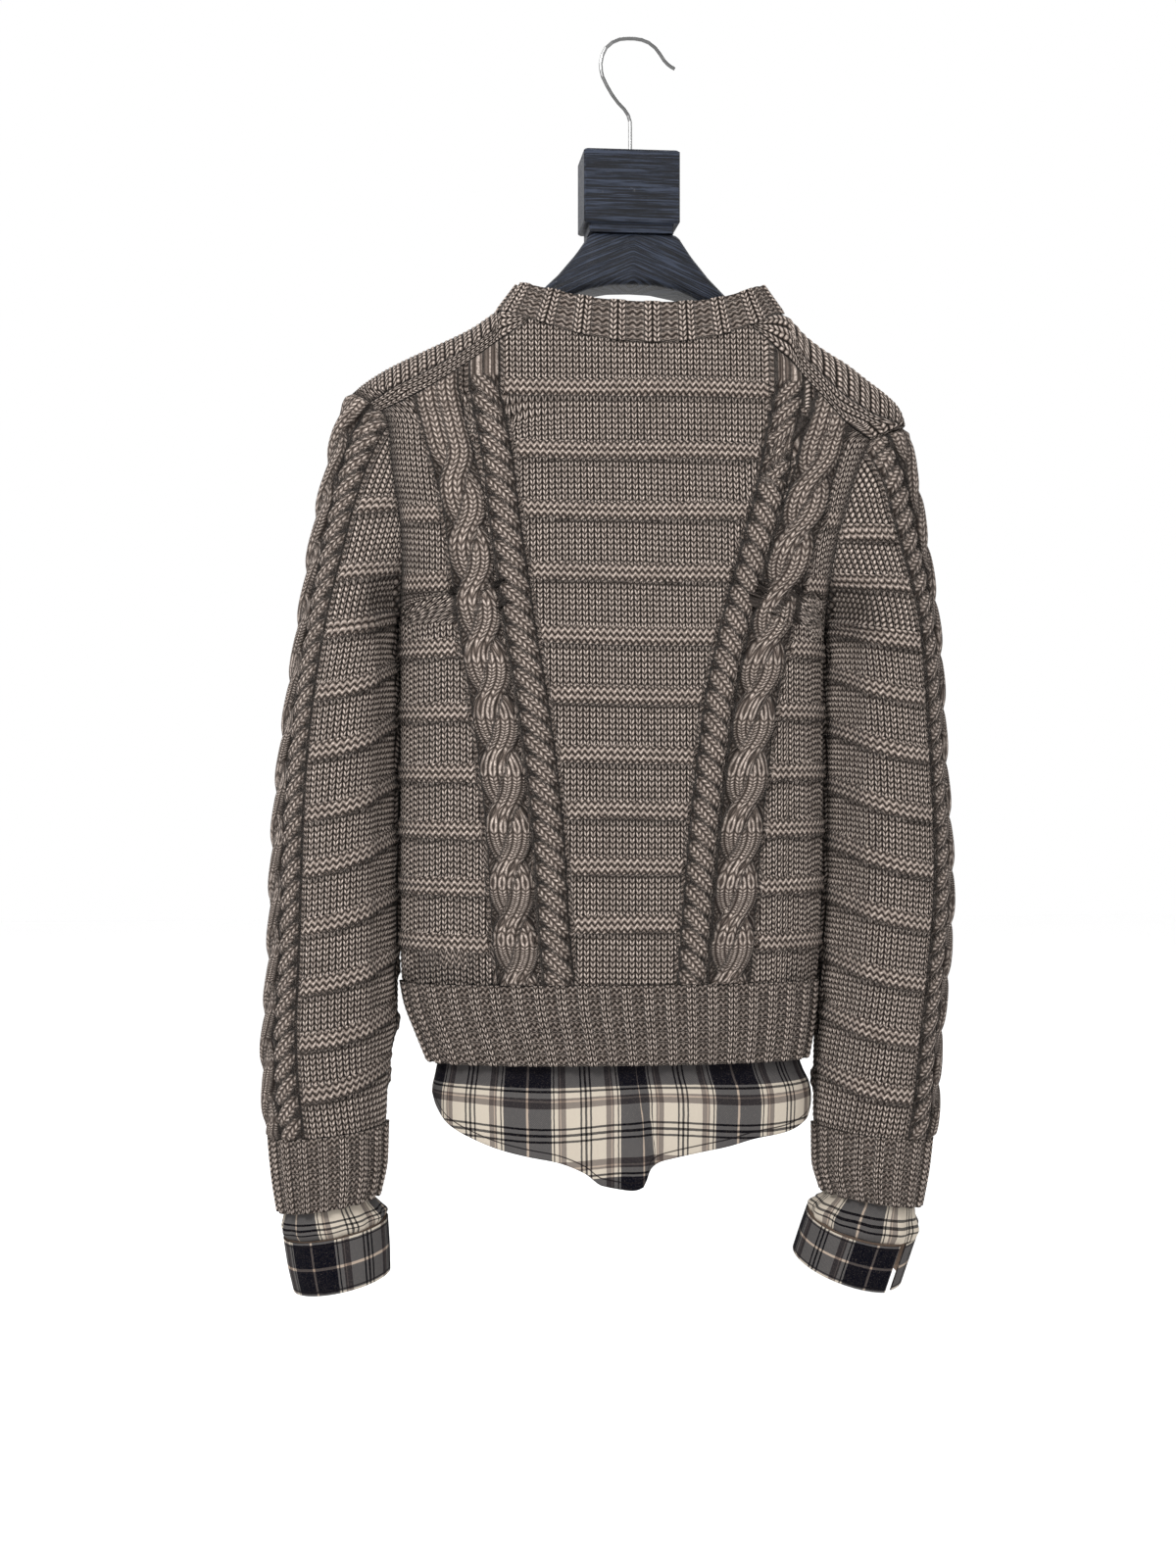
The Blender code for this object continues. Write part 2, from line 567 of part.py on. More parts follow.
def body_lines():
    """All lines of a panel from left to right."""
    cables = []
    for column, half, kind in CABLE_PLAN:
        for place in CABLE_LINES[kind]:
            own = kind if abs(place) < 1 else GUTTER
            cables.append(Line(own, place, column, place * half))
    left, right = Line(EDGE, offset=-1 + EDGE_TRIM), Line(EDGE, offset=1 - EDGE_TRIM)
    first, last = cables[0], cables[-1]
    side_l = [Line(PANEL, between=(left, first, f)) for f in (0.3, 0.65)]
    side_r = [Line(PANEL, between=(last, right, f)) for f in (0.35, 0.7)]
    side_l[1].beside_cable = side_r[0].beside_cable = True
    centre = []
    for share, whole in CENTRE_LINES:
        centre.append(Line(CENTRE, between=(cables[8], cables[9], share)))
        centre[-1].whole = whole
    return [left] + side_l + cables[:9] + centre + cables[9:] + side_r + [right]


def relief_rows(line, bottom):
    """Rows of relief on a line of the body."""
    if line.kind == ROPE:
        return rope_rows(ROPE_START, bottom, line.place)
    if line.kind == BRAID:
        return braid_rows(BRAID_START, bottom, line.place)
    if line.kind == GUTTER:
        return [(z, GUTTER_RISE) for z in np.arange(-240.0, bottom, -36.0)]
    if line.kind == EDGE:
        stations = SLEEVE_LEFT[:8, 2] if line.offset < 0 else SLEEVE_RIGHT[:8, 2]
        return [(z, 0.0) for z in list(stations) + list(np.arange(-505.0, bottom, -60.0))]
    if line.kind == PANEL:
        plain = [(height - low, PANEL_RISE) for height, low in GARTERS[:PLAIN_TOP]]
        return plain + garter_rows([height - low for height, low in GARTERS[PLAIN_TOP:]])
    return garter_rows(GARTERS[:, 0])


def neck_height(x, front):
    """Height of the neck's edge at x, on the back or the front."""
    across = np.clip((np.asarray(x, float) - NECK_MID) / NECK_HALF, -1, 1)
    angle = np.arcsin(across)
    return neck_seam(math.pi - angle if front else angle)[1]


def settle(line, height_at, start):
    """Height and s where a line meets an edge whose height depends on x."""
    z = start
    for _ in range(24):
        s = float(line.s(z))
        x = float(body_x(s, z, follow(BODY_DEPTH, 1, z)))
        z = 0.5 * z + 0.5 * float(height_at(s, x))
    return z, s, x


@functools.cache
def neck_edge(front):
    """Corners of the panels' edge at the neck from left to right, with its two side points."""
    corners = []
    for line in body_lines():
        z, s, x = settle(line, lambda s, x: neck_height(x, front), -240.0)
        if OVER_LEFT < x < OVER_RIGHT:
            y = body_point(s, (1 if front else -1) * way_down(s, z))[1]
            corners.append((x, float(y), z))
    for x in (NECK_MID - NECK_HALF, NECK_MID + NECK_HALF):
        corners.append((x, 0.0, float(follow(RIDGE, 1, x))))
    return np.array(sorted(corners))


def strip_bottom(s, x):
    """Upper edge of the back panel: the shoulder strip's seam, or the neck's edge."""
    neck = neck_height(x, False) - NECK_GAP_BACK + SEAM_HALF
    return np.minimum(follow(BACK_TOP, 1, x), neck)


def strip_top(s, x):
    """Seam between the shoulder strip and the front panel, which comes over from the front."""
    ridge = ridge_height(s)
    return ridge - STRIP_SHARE * (ridge - follow(BACK_TOP, 1, x))


def in_neck(x):
    return OVER_LEFT < x < OVER_RIGHT


def face_normals(line, s, w, point):
    if line.kind == EDGE:
        return -armhole_inward(point, -math.copysign(1, line.offset))
    return normals(body_point, s, w)


def body_line(wall, line, rows, across, inside=False, level=True, level_rows=()):
    """Adds a line from rows of (height, rise, sign), sign -1 at the back and 1 at the front."""
    z, rise, sign = (np.array(column, float) for column in zip(*rows))
    s = line.s(z)
    w = sign * way_down(s, z)
    point = body_point(s, w)
    out = face_normals(line, s, w, point)
    for row in level_rows:
        out = level_end(out, row)
    point = point - out * KNIT_WALL if inside else point + out * rise[:, None]
    places = -z if level else w + smooth(15, 75, w) * (-z - w)
    return wall.line(point, places, across)


def end_in(line, whole):
    """A short line of the neck runs on in the points of the whole line beside it."""
    index, places, across = line
    own = [k for k, place in enumerate(places) if place < -SHORT_END]
    shared = [k for k, place in enumerate(whole[1]) if place > places[own[-1]] + 4]
    return ([index[k] for k in own] + [whole[0][k] for k in shared],
            [places[k] for k in own] + [whole[1][k] for k in shared], across)


def share_ends(entries, kept):
    """Ends each short line in the nearest whole one."""
    whole = [k for k, line in enumerate(kept) if line.whole]
    for k, line in enumerate(kept):
        if not line.whole:
            nearest = min(whole, key=lambda other: abs(other - k))
            entries[k] = end_in(entries[k], entries[nearest])
    return entries


def coarse_rows(line, bottom):
    """Rows of the plain inside, closer together beside the armpit."""
    if line.kind == EDGE:
        return relief_rows(line, bottom)
    if line.kind == PANEL:
        return [(z, 0.0) for z in (*SHOULDER_ROWS, *ARMPIT_ROWS, -540, -630)]
    return [(z, 0.0) for z in np.arange(-262.0, bottom, -46.0)]


def has_inside(line, number):
    return line.kind in (EDGE, CENTRE) or line.beside_cable or (line.kind != PANEL and number % 3 == 0)


def back_rows(line, inside):
    """All rows of a back panel's line, from its upper end to the hem, and which rows are level."""
    top = settle(line, strip_bottom, -250.0)[0] - SEAM_HALF
    bottom = HEM_SEAM + SEAM_HALF
    relief = coarse_rows(line, bottom) if inside else relief_rows(line, bottom)
    margin, last = (1.0, 0.0) if line.kind == EDGE else (8.0 if inside else 3.5, 0.4)
    return between(relief, top, bottom, margin, 0.0, 0.0 if inside else last)


def back_panel():
    wall = Wall()
    outer, inner = [], []
    lines = body_lines()
    inside = [line for number, line in enumerate(lines) if has_inside(line, number)]
    for number, line in enumerate(lines):
        levels = () if line.kind == EDGE else (0, -1) if line.kind == CENTRE else (-1,)
        rows = [(*row, -1) for row in back_rows(line, False)]
        outer.append(body_line(wall, line, rows, number, level_rows=levels))
        if line in inside:
            rows = [(*row, -1) for row in back_rows(line, True)]
            inner.append(body_line(wall, line, rows, number, True, level_rows=levels))
    wall.close(share_ends(outer, lines), share_ends(inner, inside))
    return wall.build("back_panel", KNIT)


def arch_rows(line, start, inside):
    """Rows of an edge line over the shoulder tip, level with the sleeve's own lines."""
    radius = ARM_RIDGE_LEFT if line.offset < 0 else ARM_RIDGE_RIGHT
    tip = float(ridge_height(np.array(line.offset)))
    rows = []
    for t in [place[0] for place in sleeve_lines()][::2 if inside else 1]:
        z = tip - radius * (1 - math.cos(t * math.pi / 2))
        if t < 0.999 and (t > 0 or z > start + 1.5):
            rows.append((z, 0.0, -1 if t < 0 else 1))
    return rows


def at_turn(line, turn):
    """Height where a line has gone that far round the shoulder, in degrees."""
    z = -230.0
    for _ in range(30):
        s = line.s(z)
        z = 0.5 * z + 0.5 * float(ridge_height(s) - ridge_radius(s) * (1 - math.cos(math.radians(turn))))
    return z


def over_rows(line, start):
    """Rows from the seam at the back over the shoulder line to the front."""
    rows = []
    for turn in OVER_TURNS:
        z = at_turn(line, turn)
        if turn > 0 or z > start + 2.0:
            rows.append((z, 0.4, -1 if turn < 0 else 1))
    return rows


def front_rows(line, inside, beside_neck=False):
    """All rows of a front panel's line, from its upper end to the hem."""
    z, s, x = settle(line, strip_top, -240.0)
    bottom = HEM_SEAM + SEAM_HALF
    plain = coarse_rows(line, bottom) if inside else relief_rows(line, bottom)
    last = 0.0 if inside or line.kind == EDGE else 0.4
    if in_neck(x):
        top = settle(line, lambda s, x: neck_height(x, True), -260.0)[0] - NECK_GAP_FRONT
        return [(*row, 1) for row in between(plain, top, bottom, 3.5, 0.0, last)]
    start = z + SEAM_HALF
    edge = line.kind == EDGE
    over = arch_rows(line, start, inside) if edge else over_rows(line, start)
    rows = [(*row, 1) for row in between(plain, over[-1][0], bottom, 1.0 if edge else 6.0, 0.0, last)[1:]]
    if beside_neck:
        return [(at_turn(line, BESIDE_NECK_TURN), 0.0, -1)] + [row for row in over if row[2] > 0] + rows
    return [(start, 0.0, -1)] + over + rows


def front_panel():
    wall = Wall()
    outer, inner = [], []
    lines = body_lines()[::-1]
    necks = [in_neck(settle(line, strip_top, -240.0)[2]) for line in lines]
    inside = []
    for number, line in enumerate(lines):
        levels = () if line.kind == EDGE else (0, -1) if necks[number] else (-1,)
        beside = len(set(necks[max(number - 1, 0):number + 2])) > 1
        rows = front_rows(line, False, beside)
        outer.append(body_line(wall, line, rows, number, False, False, levels))
        near = len(set(necks[max(number - 2, 0):number + 3])) > 1
        if has_inside(line, number) or near:
            inside.append(line)
            rows = front_rows(line, True, beside)
            if near:
                low = rows[0][0] - (6.0 if beside else -99.0)
                rows = rows[:1] + [row for row in rows[1:] if row[2] > 0 and row[0] < low]
            inner.append(body_line(wall, line, rows, number, True, False, levels))
    wall.close(share_ends(outer, lines), share_ends(inner, inside))
    return wall.build("front_panel", KNIT)


def strip_ends(line, share):
    """Lower and upper edge of the shoulder strip on a line, and its reach up to the band."""
    low, _, x = settle(line, strip_bottom, -250.0)
    high = settle(line, strip_top, -240.0)[0]
    high += (float(neck_height(x, False)) - NECK_GAP_BACK - high) * share
    return low + STRIP_GAP, high - STRIP_GAP


def shoulder_strip(side):
    """Narrow strip along the shoulder, between the back panel and the front panel's upper edge."""
    wall = Wall()
    outer, inner = [], []
    columns = STRIP_LEFT if side < 0 else STRIP_RIGHT
    for number, (x, share) in enumerate(columns):
        line = Line(FIXED, offset=x) if number else Line(EDGE, offset=side * (1 - EDGE_TRIM))
        low, high = strip_ends(line, share)
        rise = 0.0 if number == 0 else STRIP_RISE
        rows = [(high, 0.0), (high * 0.7 + low * 0.3, rise), (high * 0.5 + low * 0.5, rise * 0.4),
                (high * 0.3 + low * 0.7, rise), (low, 0.0)]
        across = -side * number
        levels = (0,) if share == 1 else ()
        outer.append(body_line(wall, line, [(*row, -1) for row in rows], across, level_rows=levels))
        inner.append(body_line(wall, line, [(*row, -1) for row in rows[::2]], across, True,
                               level_rows=levels))
    if side > 0:
        outer, inner = outer[::-1], inner[::-1]
    wall.close(outer, inner)
    return wall.build("shoulder_strip_left" if side < 0 else "shoulder_strip_right", KNIT)


# ---- sleeves ----

def sleeve_lines():
    """Lines round a sleeve from the back seam to the front seam: t, kind and place across a cable."""
    lines = [(-1 + SLEEVE_TRIM, EDGE, 0)] + [(t, PANEL, 0) for t in (-0.86, -0.72, -0.58, -0.44)]
    for middle, half, kind in SLEEVE_CABLES:
        for place in CABLE_LINES[kind]:
            lines.append((middle + place * half, kind if abs(place) < 1 else GUTTER, place))
    return lines + [(t, PANEL, 0) for t in (0.3, 0.45, 0.6, 0.8)] + [(1 - SLEEVE_TRIM, EDGE, 0)]


def sleeve_rows(side, kind, place, bottom):
    table = SLEEVE_LEFT if side < 0 else SLEEVE_RIGHT
    garters = SLEEVE_GARTERS_LEFT if side < 0 else SLEEVE_GARTERS_RIGHT
    start = table[0, 0]
    if kind == ROPE:
        return rope_rows(start - 4, bottom, place)
    if kind == BRAID:
        return braid_rows(start - 10, bottom, place)
    if kind == PANEL:
        return garter_rows(garters)
    if kind == EDGE:
        return [(row[0], 0.0) for row in table[1:]]
    return [(z, GUTTER_RISE) for z in np.arange(start - 20, bottom, -40.0)]


def sleeve_top(side, start):
    """Rows just under the shoulder end that carry the cap's bend."""
    return [(start - drop, 0.3) for drop in (8.0, 20.0)]


def sleeve_surface(side):
    """The sleeve's face as a surface whose u runs to the right of someone facing it."""
    return lambda u, v: sleeve_point(side, u * side, v)


def sleeve_line(wall, side, line, rows, across, inside):
    t, kind, place = line
    surface = sleeve_surface(side)
    v, rise = (np.array(column, float) for column in zip(*rows))
    u = np.full_like(v, t * side)
    point = surface(u, v)
    out = normals(surface, u, v, 0.004, 0.8)
    seam = -armhole_inward(point, float(side))
    at_seam = np.ones_like(v) if kind == EDGE else np.zeros_like(v)
    at_seam[0] = 1.0
    out = out * (1 - at_seam[:, None]) + seam * at_seam[:, None]
    if kind != EDGE:
        out = level_end(out, -1)
    point = point - out * KNIT_WALL if inside else point + out * rise[:, None]
    return wall.line(point, -v, across)


def sleeve(side):
    wall = Wall()
    outer, inner = [], []
    table = SLEEVE_LEFT if side < 0 else SLEEVE_RIGHT
    top, bottom = table[0, 0] - CAP_GAP, table[-3, 0] + SEAM_HALF
    lines = sleeve_lines() if side > 0 else sleeve_lines()[::-1]
    for number, line in enumerate(lines):
        relief = sleeve_rows(side, line[1], line[2], bottom)
        margin = 1.0 if line[1] == EDGE else 4.0
        if line[1] in (PANEL, GUTTER):
            relief = relief + sleeve_top(side, top)
        last = 0.0 if line[1] == EDGE else 0.4
        outer.append(sleeve_line(wall, side, line, between(relief, top, bottom, margin, 0, last),
                                 number, False))
        if number % 2 == 0 or number == len(lines) - 1:
            plain = [(z, 0) for z in np.arange(top - 12, bottom, -42.0)] + sleeve_top(side, top)
            if line[1] == EDGE:
                plain = relief
            inner.append(sleeve_line(wall, side, line, between(plain, top, bottom, 4.0, 0, 0),
                                     number, True))
    wall.close(outer, inner)
    return wall.build("sleeve_left" if side < 0 else "sleeve_right", KNIT)


# ---- ribs, neckband and shirt pieces ----

def tube(name, look, surface, places, inner_places, rows, rises, thick, step, level=None, ring=True):
    """A wall round a surface(u, v): a line at each place, with its rows and rises, over a plain inside."""
    wall = Wall()
    outer, inner = [], []
    v = np.array(rows, float)

    def stand(u):
        out = normals(surface, u, v, *step)
        return surface(u, v), out if level is None else level_end(out, level)

    for number, u in enumerate(places):
        point, out = stand(u)
        outer.append(wall.line(point + out * rises(number, v)[:, None], -v, (u - places[0]) / math.tau))
    for u in inner_places:
        point, out = stand(u)
        inner.append(wall.line(point - out * thick, -v, (u - places[0]) / math.tau))
    wall.close(outer, inner, ring)
    return wall.build(name, look)


def rib_rises(number, v):
    """Two raised lines and two sunk ones in each rib, flatter at its two ends."""
    up = number % 4 < 2
    rises = np.full(len(v), RIB_RISE if up else 0.0)
    rises[0] = RIB_RISE * 0.6 if up else 0.0
    return rises


def turns(count, start=-math.pi):
    return start + np.arange(count) * math.tau / count


def even_turns(surface, row, count):
    """Places round a tube that are evenly apart along its cloth at one row."""
    turn = turns(1440)
    turn = np.append(turn, turn[0] + math.tau)
    point = surface(turn, np.full_like(turn, row))
    length = np.concatenate([[0], np.cumsum(np.linalg.norm(np.diff(point, axis=0), axis=1))])
    return np.interp(np.arange(count) / count * length[-1], length, turn)


def no_rise(number, v):
    return np.zeros(len(v))


def hem_surface(u, v):
    """The rib's face carries the body's folds on and lets them fade towards its edge."""
    point = oval_point(HEM, u, v)
    s = np.arcsin(np.clip(np.sin(u), -1, 1)) / (math.pi / 2)
    fade = 1 - smooth(-740, -790, point[..., 2])
    point[..., 1] -= np.sign(np.cos(u)) * body_fold(s, HEM_SEAM) * fade
    return point


def hem_rib():
    places, inside = (even_turns(hem_surface, -760.0, HEM_RIBS * share) for share in (4, 1))
    return tube("hem_rib", KNIT, hem_surface, places, inside,
                (HEM_SEAM - SEAM_HALF, -760.0, -791.0), rib_rises, KNIT_WALL, (0.01, 0.8), level=0)


def cuff_rib(side):
    table = SLEEVE_LEFT if side < 0 else SLEEVE_RIGHT
    top, bottom = table[-3, 0] - SEAM_HALF, table[-1, 0]
    middle = (top + bottom) / 2

    def surface(u, v):
        return sleeve_point(side, u / math.pi * side, v)
    places, inside = (even_turns(surface, middle, count) for count in (CUFF_RIBS * 4, CUFF_RIBS + 6))
    return tube("cuff_rib_left" if side < 0 else "cuff_rib_right", KNIT, surface, places, inside,
                (top, middle, bottom), rib_rises, KNIT_WALL, (0.01, 0.8), level=0)


def neckband():
    return tube("neckband", KNIT, band_point, turns(NECK_RIBS * 4), turns(NECK_RIBS + 8),
                (1.0, 0.5, 0.012), rib_rises, KNIT_WALL, (0.01, 0.03), level=-1)


def tail_fold(x, z):
    """Depth that the shirt tail's folds add at x, with one sharp fold near the middle."""
    low = smooth(-785, -880, z)
    fold_x = -5 + 12 * smooth(-787, -875, z)
    sharp = np.exp(-((x - fold_x + 9) / 11) ** 2) - 0.9 * np.exp(-((x - fold_x - 6) / 8) ** 2)
    waves = 1.6 * np.sin(x / 17.0 + 0.4) + 1.4 * np.sin(x / 29.0 + 2.2)
    return low * (6.0 * sharp + waves)


def tail_surface(front):
    def surface(u, v):
        """u is the angle round the body and v the share of the way down, negative."""
        u, v = np.broadcast_arrays(np.asarray(u, float), np.asarray(v, float))
        full = np.sin(u) * (1 + OVAL_FULLNESS * np.cos(u) ** 2)
        hem = follow(TAIL_HEM, 2 if front else 1, -4.0 + 154.0 * full)
        z = TAIL[0, 0] + (hem - TAIL[0, 0]) * -v
        point = oval_point(TAIL, u, z)
        fold = tail_fold(point[..., 0], z) * np.abs(np.cos(u)) ** 0.5
        point[..., 1] += fold * np.where(np.cos(u) > 0, -1.0, 0.5)
        return point
    return surface


def shirt_tail(front):
    name = "shirt_tail_front" if front else "shirt_tail_back"
    trim = 0.0035
    places = np.linspace(-math.pi / 2 + trim, math.pi / 2 - trim, 25 if front else 37)
    if front:
        places = places + math.pi
    return tube(name, SHIRT, tail_surface(front), places, places, (0.0, -0.22, -0.45, -0.72, -1.0),
                no_rise, SHIRT_WALL, (0.01, 0.02), ring=False)


def cuff_surface(table, pleats=0.0):
    def surface(u, v):
        point = cuff_point(table, u, -np.asarray(v, float))
        if pleats:
            row = -np.broadcast_to(v, point.shape[:-1])
            grow = smooth(1.2, 3.0, row) * (1 - 0.5 * smooth(3.2, 4.0, row))
            size = 1 + pleats * grow * np.cos(GATHERS * np.asarray(u, float) + 0.8)
            middle = follow(np.column_stack([np.arange(len(table)), table]), 1, row)
            point[..., 0] = (point[..., 0] - middle) * size + middle
            point[..., 1] *= size
        return point
    return surface


def shirt_end(side):
    """Gathered end of a shirt sleeve, from inside the rib down to the cuff band."""
    table = SHIRT_END_LEFT if side < 0 else SHIRT_END_RIGHT
    places = turns(GATHERS * 3)
    return tube("shirt_end_left" if side < 0 else "shirt_end_right", SHIRT,
                cuff_surface(table, 0.04), places, places, (0.0, -1.0, -2.0, -3.0, -4.0), no_rise,
                SHIRT_WALL, (0.01, 0.03))


def cuff_band_left():
    return tube("cuff_band_left", SHIRT, cuff_surface(BAND_LEFT), turns(36), turns(36),
                (0.0, -1.0, -2.0), no_rise, SHIRT_WALL, (0.01, 0.03))


def open_band(u, v):
    """The open cuff: its under end curls in behind its upper end."""
    point = cuff_point(BAND_RIGHT, u, -np.asarray(v, float))
    start = math.radians(BAND_RIGHT_START)
    wound = (start - np.asarray(u, float)) / math.radians(-BAND_RIGHT_TURN)
    size = 1 - 0.10 * smooth(0.86, 1.0, wound)
    middle = follow(np.column_stack([np.arange(3), BAND_RIGHT]), 1, -np.asarray(v, float))
    point[..., 0] = (point[..., 0] - middle) * size + middle
    point[..., 1] = point[..., 1] * size
    return point


def cuff_band_right():
    start = math.radians(BAND_RIGHT_START)
    places = np.linspace(start + math.radians(BAND_RIGHT_TURN), start, 36)
    return tube("cuff_band_right", SHIRT, open_band, places, places, (0.0, -1.0, -2.0), no_rise,
                SHIRT_WALL, (0.01, 0.03), ring=False)


# ---- hanger ----

def loft(name, look, rings, soft=False):
    """A closed solid through rings of points, each ring running the same way round."""
    count = len(rings[0])
    points = [p for ring in rings for p in ring]
    faces = [tuple(range(count))[::-1], tuple(range(len(points) - count, len(points)))]
    for k in range(len(rings) - 1):
        for i in range(count):
            j = (i + 1) % count
            faces.append((k * count + i, k * count + j, (k + 1) * count + j, (k + 1) * count + i))
    points = (np.array(points) - (0, 0, HOOK_SEAT_DROP)) * MM
    return make_object(name, points, faces, look, soft)


def hanger_arms():
    """Both arms as one piece of wood, rounded along their edges."""
    rings = []
    for x, top, bottom, half in ARMS:
        middle, tall = (top + bottom) / 2, (top - bottom) / 2
        corner = min(7.0, tall * 0.8)
        ring = []
        for sy, sz, turn in ((1, 1, 0), (-1, 1, 90), (-1, -1, 180), (1, -1, 270)):
            for step in (0, 45, 90):
                angle = math.radians(turn + step)
                ring.append((x, sy * (half - corner) + corner * math.cos(angle),
                             middle + sz * (tall - corner) + corner * math.sin(angle)))
        rings.append(ring)
    return loft("hanger_arms", WOOD, rings)


def hanger_block():
    rings = []
    for z, wide, deep in BLOCK:
        c = BLOCK_CORNER
        corners = ((wide, deep - c), (wide - c, deep), (c - wide, deep), (-wide, deep - c),
                   (-wide, c - deep), (c - wide, -deep), (wide - c, -deep), (wide, c - deep))
        rings.append([(BLOCK_MID + x, y, z) for x, y in corners[::-1]])
    return loft("hanger_block", WOOD, rings)


def hanger_hook():
    """Steel wire that rises out of the block and curls over where the garment is held."""
    steps = np.linspace(0, len(HOOK_WIRE) - 1, 26)
    table = np.column_stack([np.arange(len(HOOK_WIRE)), HOOK_WIRE])
    path = np.stack([follow(table, 1, steps), 0 * steps, follow(table, 2, steps)], -1)
    ahead = np.gradient(path, axis=0)
    ahead /= np.linalg.norm(ahead, axis=1, keepdims=True)
    side = np.stack([ahead[:, 2], 0 * steps, -ahead[:, 0]], -1)
    rings = []
    for p, n in zip(path, side):
        ring = []
        for angle in turns(8):
            ring.append(p + HOOK_RADIUS * (math.cos(angle) * n + math.sin(angle) * np.array((0, 1, 0))))
        rings.append(ring)
    return loft("hanger_hook", STEEL, rings, soft=True)


def build():
    for old in list(bpy.data.objects):
        bpy.data.objects.remove(old, do_unlink=True)
    back_panel()
    front_panel()
    for side in (-1, 1):
        shoulder_strip(side)
        sleeve(side)
        cuff_rib(side)
        shirt_end(side)
    neckband()
    hem_rib()
    shirt_tail(False)
    shirt_tail(True)
    cuff_band_left()
    cuff_band_right()
    hanger_arms()
    hanger_block()
    hanger_hook()


build()
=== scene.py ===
import math

import bpy
import numpy as np
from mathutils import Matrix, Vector


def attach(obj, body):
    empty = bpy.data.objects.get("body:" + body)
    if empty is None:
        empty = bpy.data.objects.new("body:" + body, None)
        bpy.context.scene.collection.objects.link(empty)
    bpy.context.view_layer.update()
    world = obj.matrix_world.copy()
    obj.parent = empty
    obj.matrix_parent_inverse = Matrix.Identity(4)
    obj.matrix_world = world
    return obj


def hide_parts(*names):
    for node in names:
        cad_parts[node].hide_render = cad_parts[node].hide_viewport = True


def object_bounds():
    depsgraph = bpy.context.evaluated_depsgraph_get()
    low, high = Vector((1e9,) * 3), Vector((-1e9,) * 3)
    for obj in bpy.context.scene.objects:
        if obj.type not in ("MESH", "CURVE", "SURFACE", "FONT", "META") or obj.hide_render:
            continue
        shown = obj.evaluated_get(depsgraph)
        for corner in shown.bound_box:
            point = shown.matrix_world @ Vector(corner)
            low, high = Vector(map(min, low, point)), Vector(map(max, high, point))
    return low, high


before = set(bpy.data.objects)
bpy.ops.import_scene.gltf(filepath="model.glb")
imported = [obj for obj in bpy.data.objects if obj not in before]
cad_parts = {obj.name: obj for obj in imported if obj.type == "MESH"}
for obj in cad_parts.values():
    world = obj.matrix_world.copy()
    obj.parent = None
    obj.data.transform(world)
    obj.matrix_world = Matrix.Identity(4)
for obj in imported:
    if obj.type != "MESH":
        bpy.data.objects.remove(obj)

# Looks of the cable-knit pullover on its block hanger. The garment's back faces -Y. Tables are in
# millimetres, with their height zero HOOK_SEAT_DROP below the origin, which is inside the top of the hook.
# Each cloth piece and the arms are made anew in place of their solids; the block and the hook keep theirs.
CAD_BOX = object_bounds()

MM = 0.001
HOOK_SEAT_DROP = 9.5
HEM_SEAM = -729.0
SEAM_HALF = 0.1
KNIT_WALL = 3.0
SHIRT_WALL = 1.2
RIDGE_RADIUS = 20.0
ARM_RIDGE_LEFT = 16.1
ARM_RIDGE_RIGHT = 12.6
OVAL_FULLNESS = 0.25

RIB_RISE = 2.4
PANEL_RISE = 0.7
GARTER_RISE = 2.5
ROPE_HEIGHT = 5.8
BRAID_HEIGHT = 6.3
BRAID_SWAY, STRAND_HALF = 0.42, 0.62

ROPE_HALF = 11.5
ROPE_LOBE = 16.4
BRAID_HALF = 16.8
BRAID_PITCH = 42.5
ROPE_START = -262.0

EDGE_TRIM = 0.002
HEM_RIBS, CUFF_RIBS, NECK_RIBS = 46, 18, 21
GATHERS = 11
TRIM = 0.001
CAP_GAP = 0.3
STRIP_SHARE = 0.6
STRIP_RISE = 1.0
STRIP_GAP = 0.15

# columns of each shoulder strip from the armhole to the neck: x, and how far it reaches up to the band
STRIP_LEFT = ((-197, 0), (-184, 0), (-170, 0), (-156, 0), (-142, 0), (-130, 0), (-119, 0), (-112.4, 0),
              (-108.5, 0.4), (-105.2, 0.9), (-98, 1), (-93, 1), (-88, 1), (-79, 1))
STRIP_RIGHT = ((186, 0), (176, 0), (166, 0), (156, 0), (147, 0), (138, 0), (130, 0), (126.5, 0.4),
               (121, 0.85), (112.5, 1), (104, 1), (97, 1), (86, 1))
OVER_LEFT, OVER_RIGHT = -105.9, 120.6
NECK_GAP_BACK, NECK_GAP_FRONT = 0.1, 0.2
# cables round a sleeve: place of the middle as a share of SLEEVE_MM, kind
SLEEVE_CABLES = ((-0.262, "rope"), (-0.08, "braid"), (0.102, "rope"))

# shoulder line of the panels, from the left tip to the right tip: x, height
RIDGE = np.array([
    (-219, -272.9), (-203, -261), (-188, -252), (-158, -237), (-127, -221.5), (-112, -211),
    (-105, -206), (-90, -200), (-60, -195), (0, -193), (60, -195), (105, -198), (121, -206),
    (137, -222), (153, -233.5), (169, -243), (185, -255), (200, -266), (210, -276), (217, -293),
])
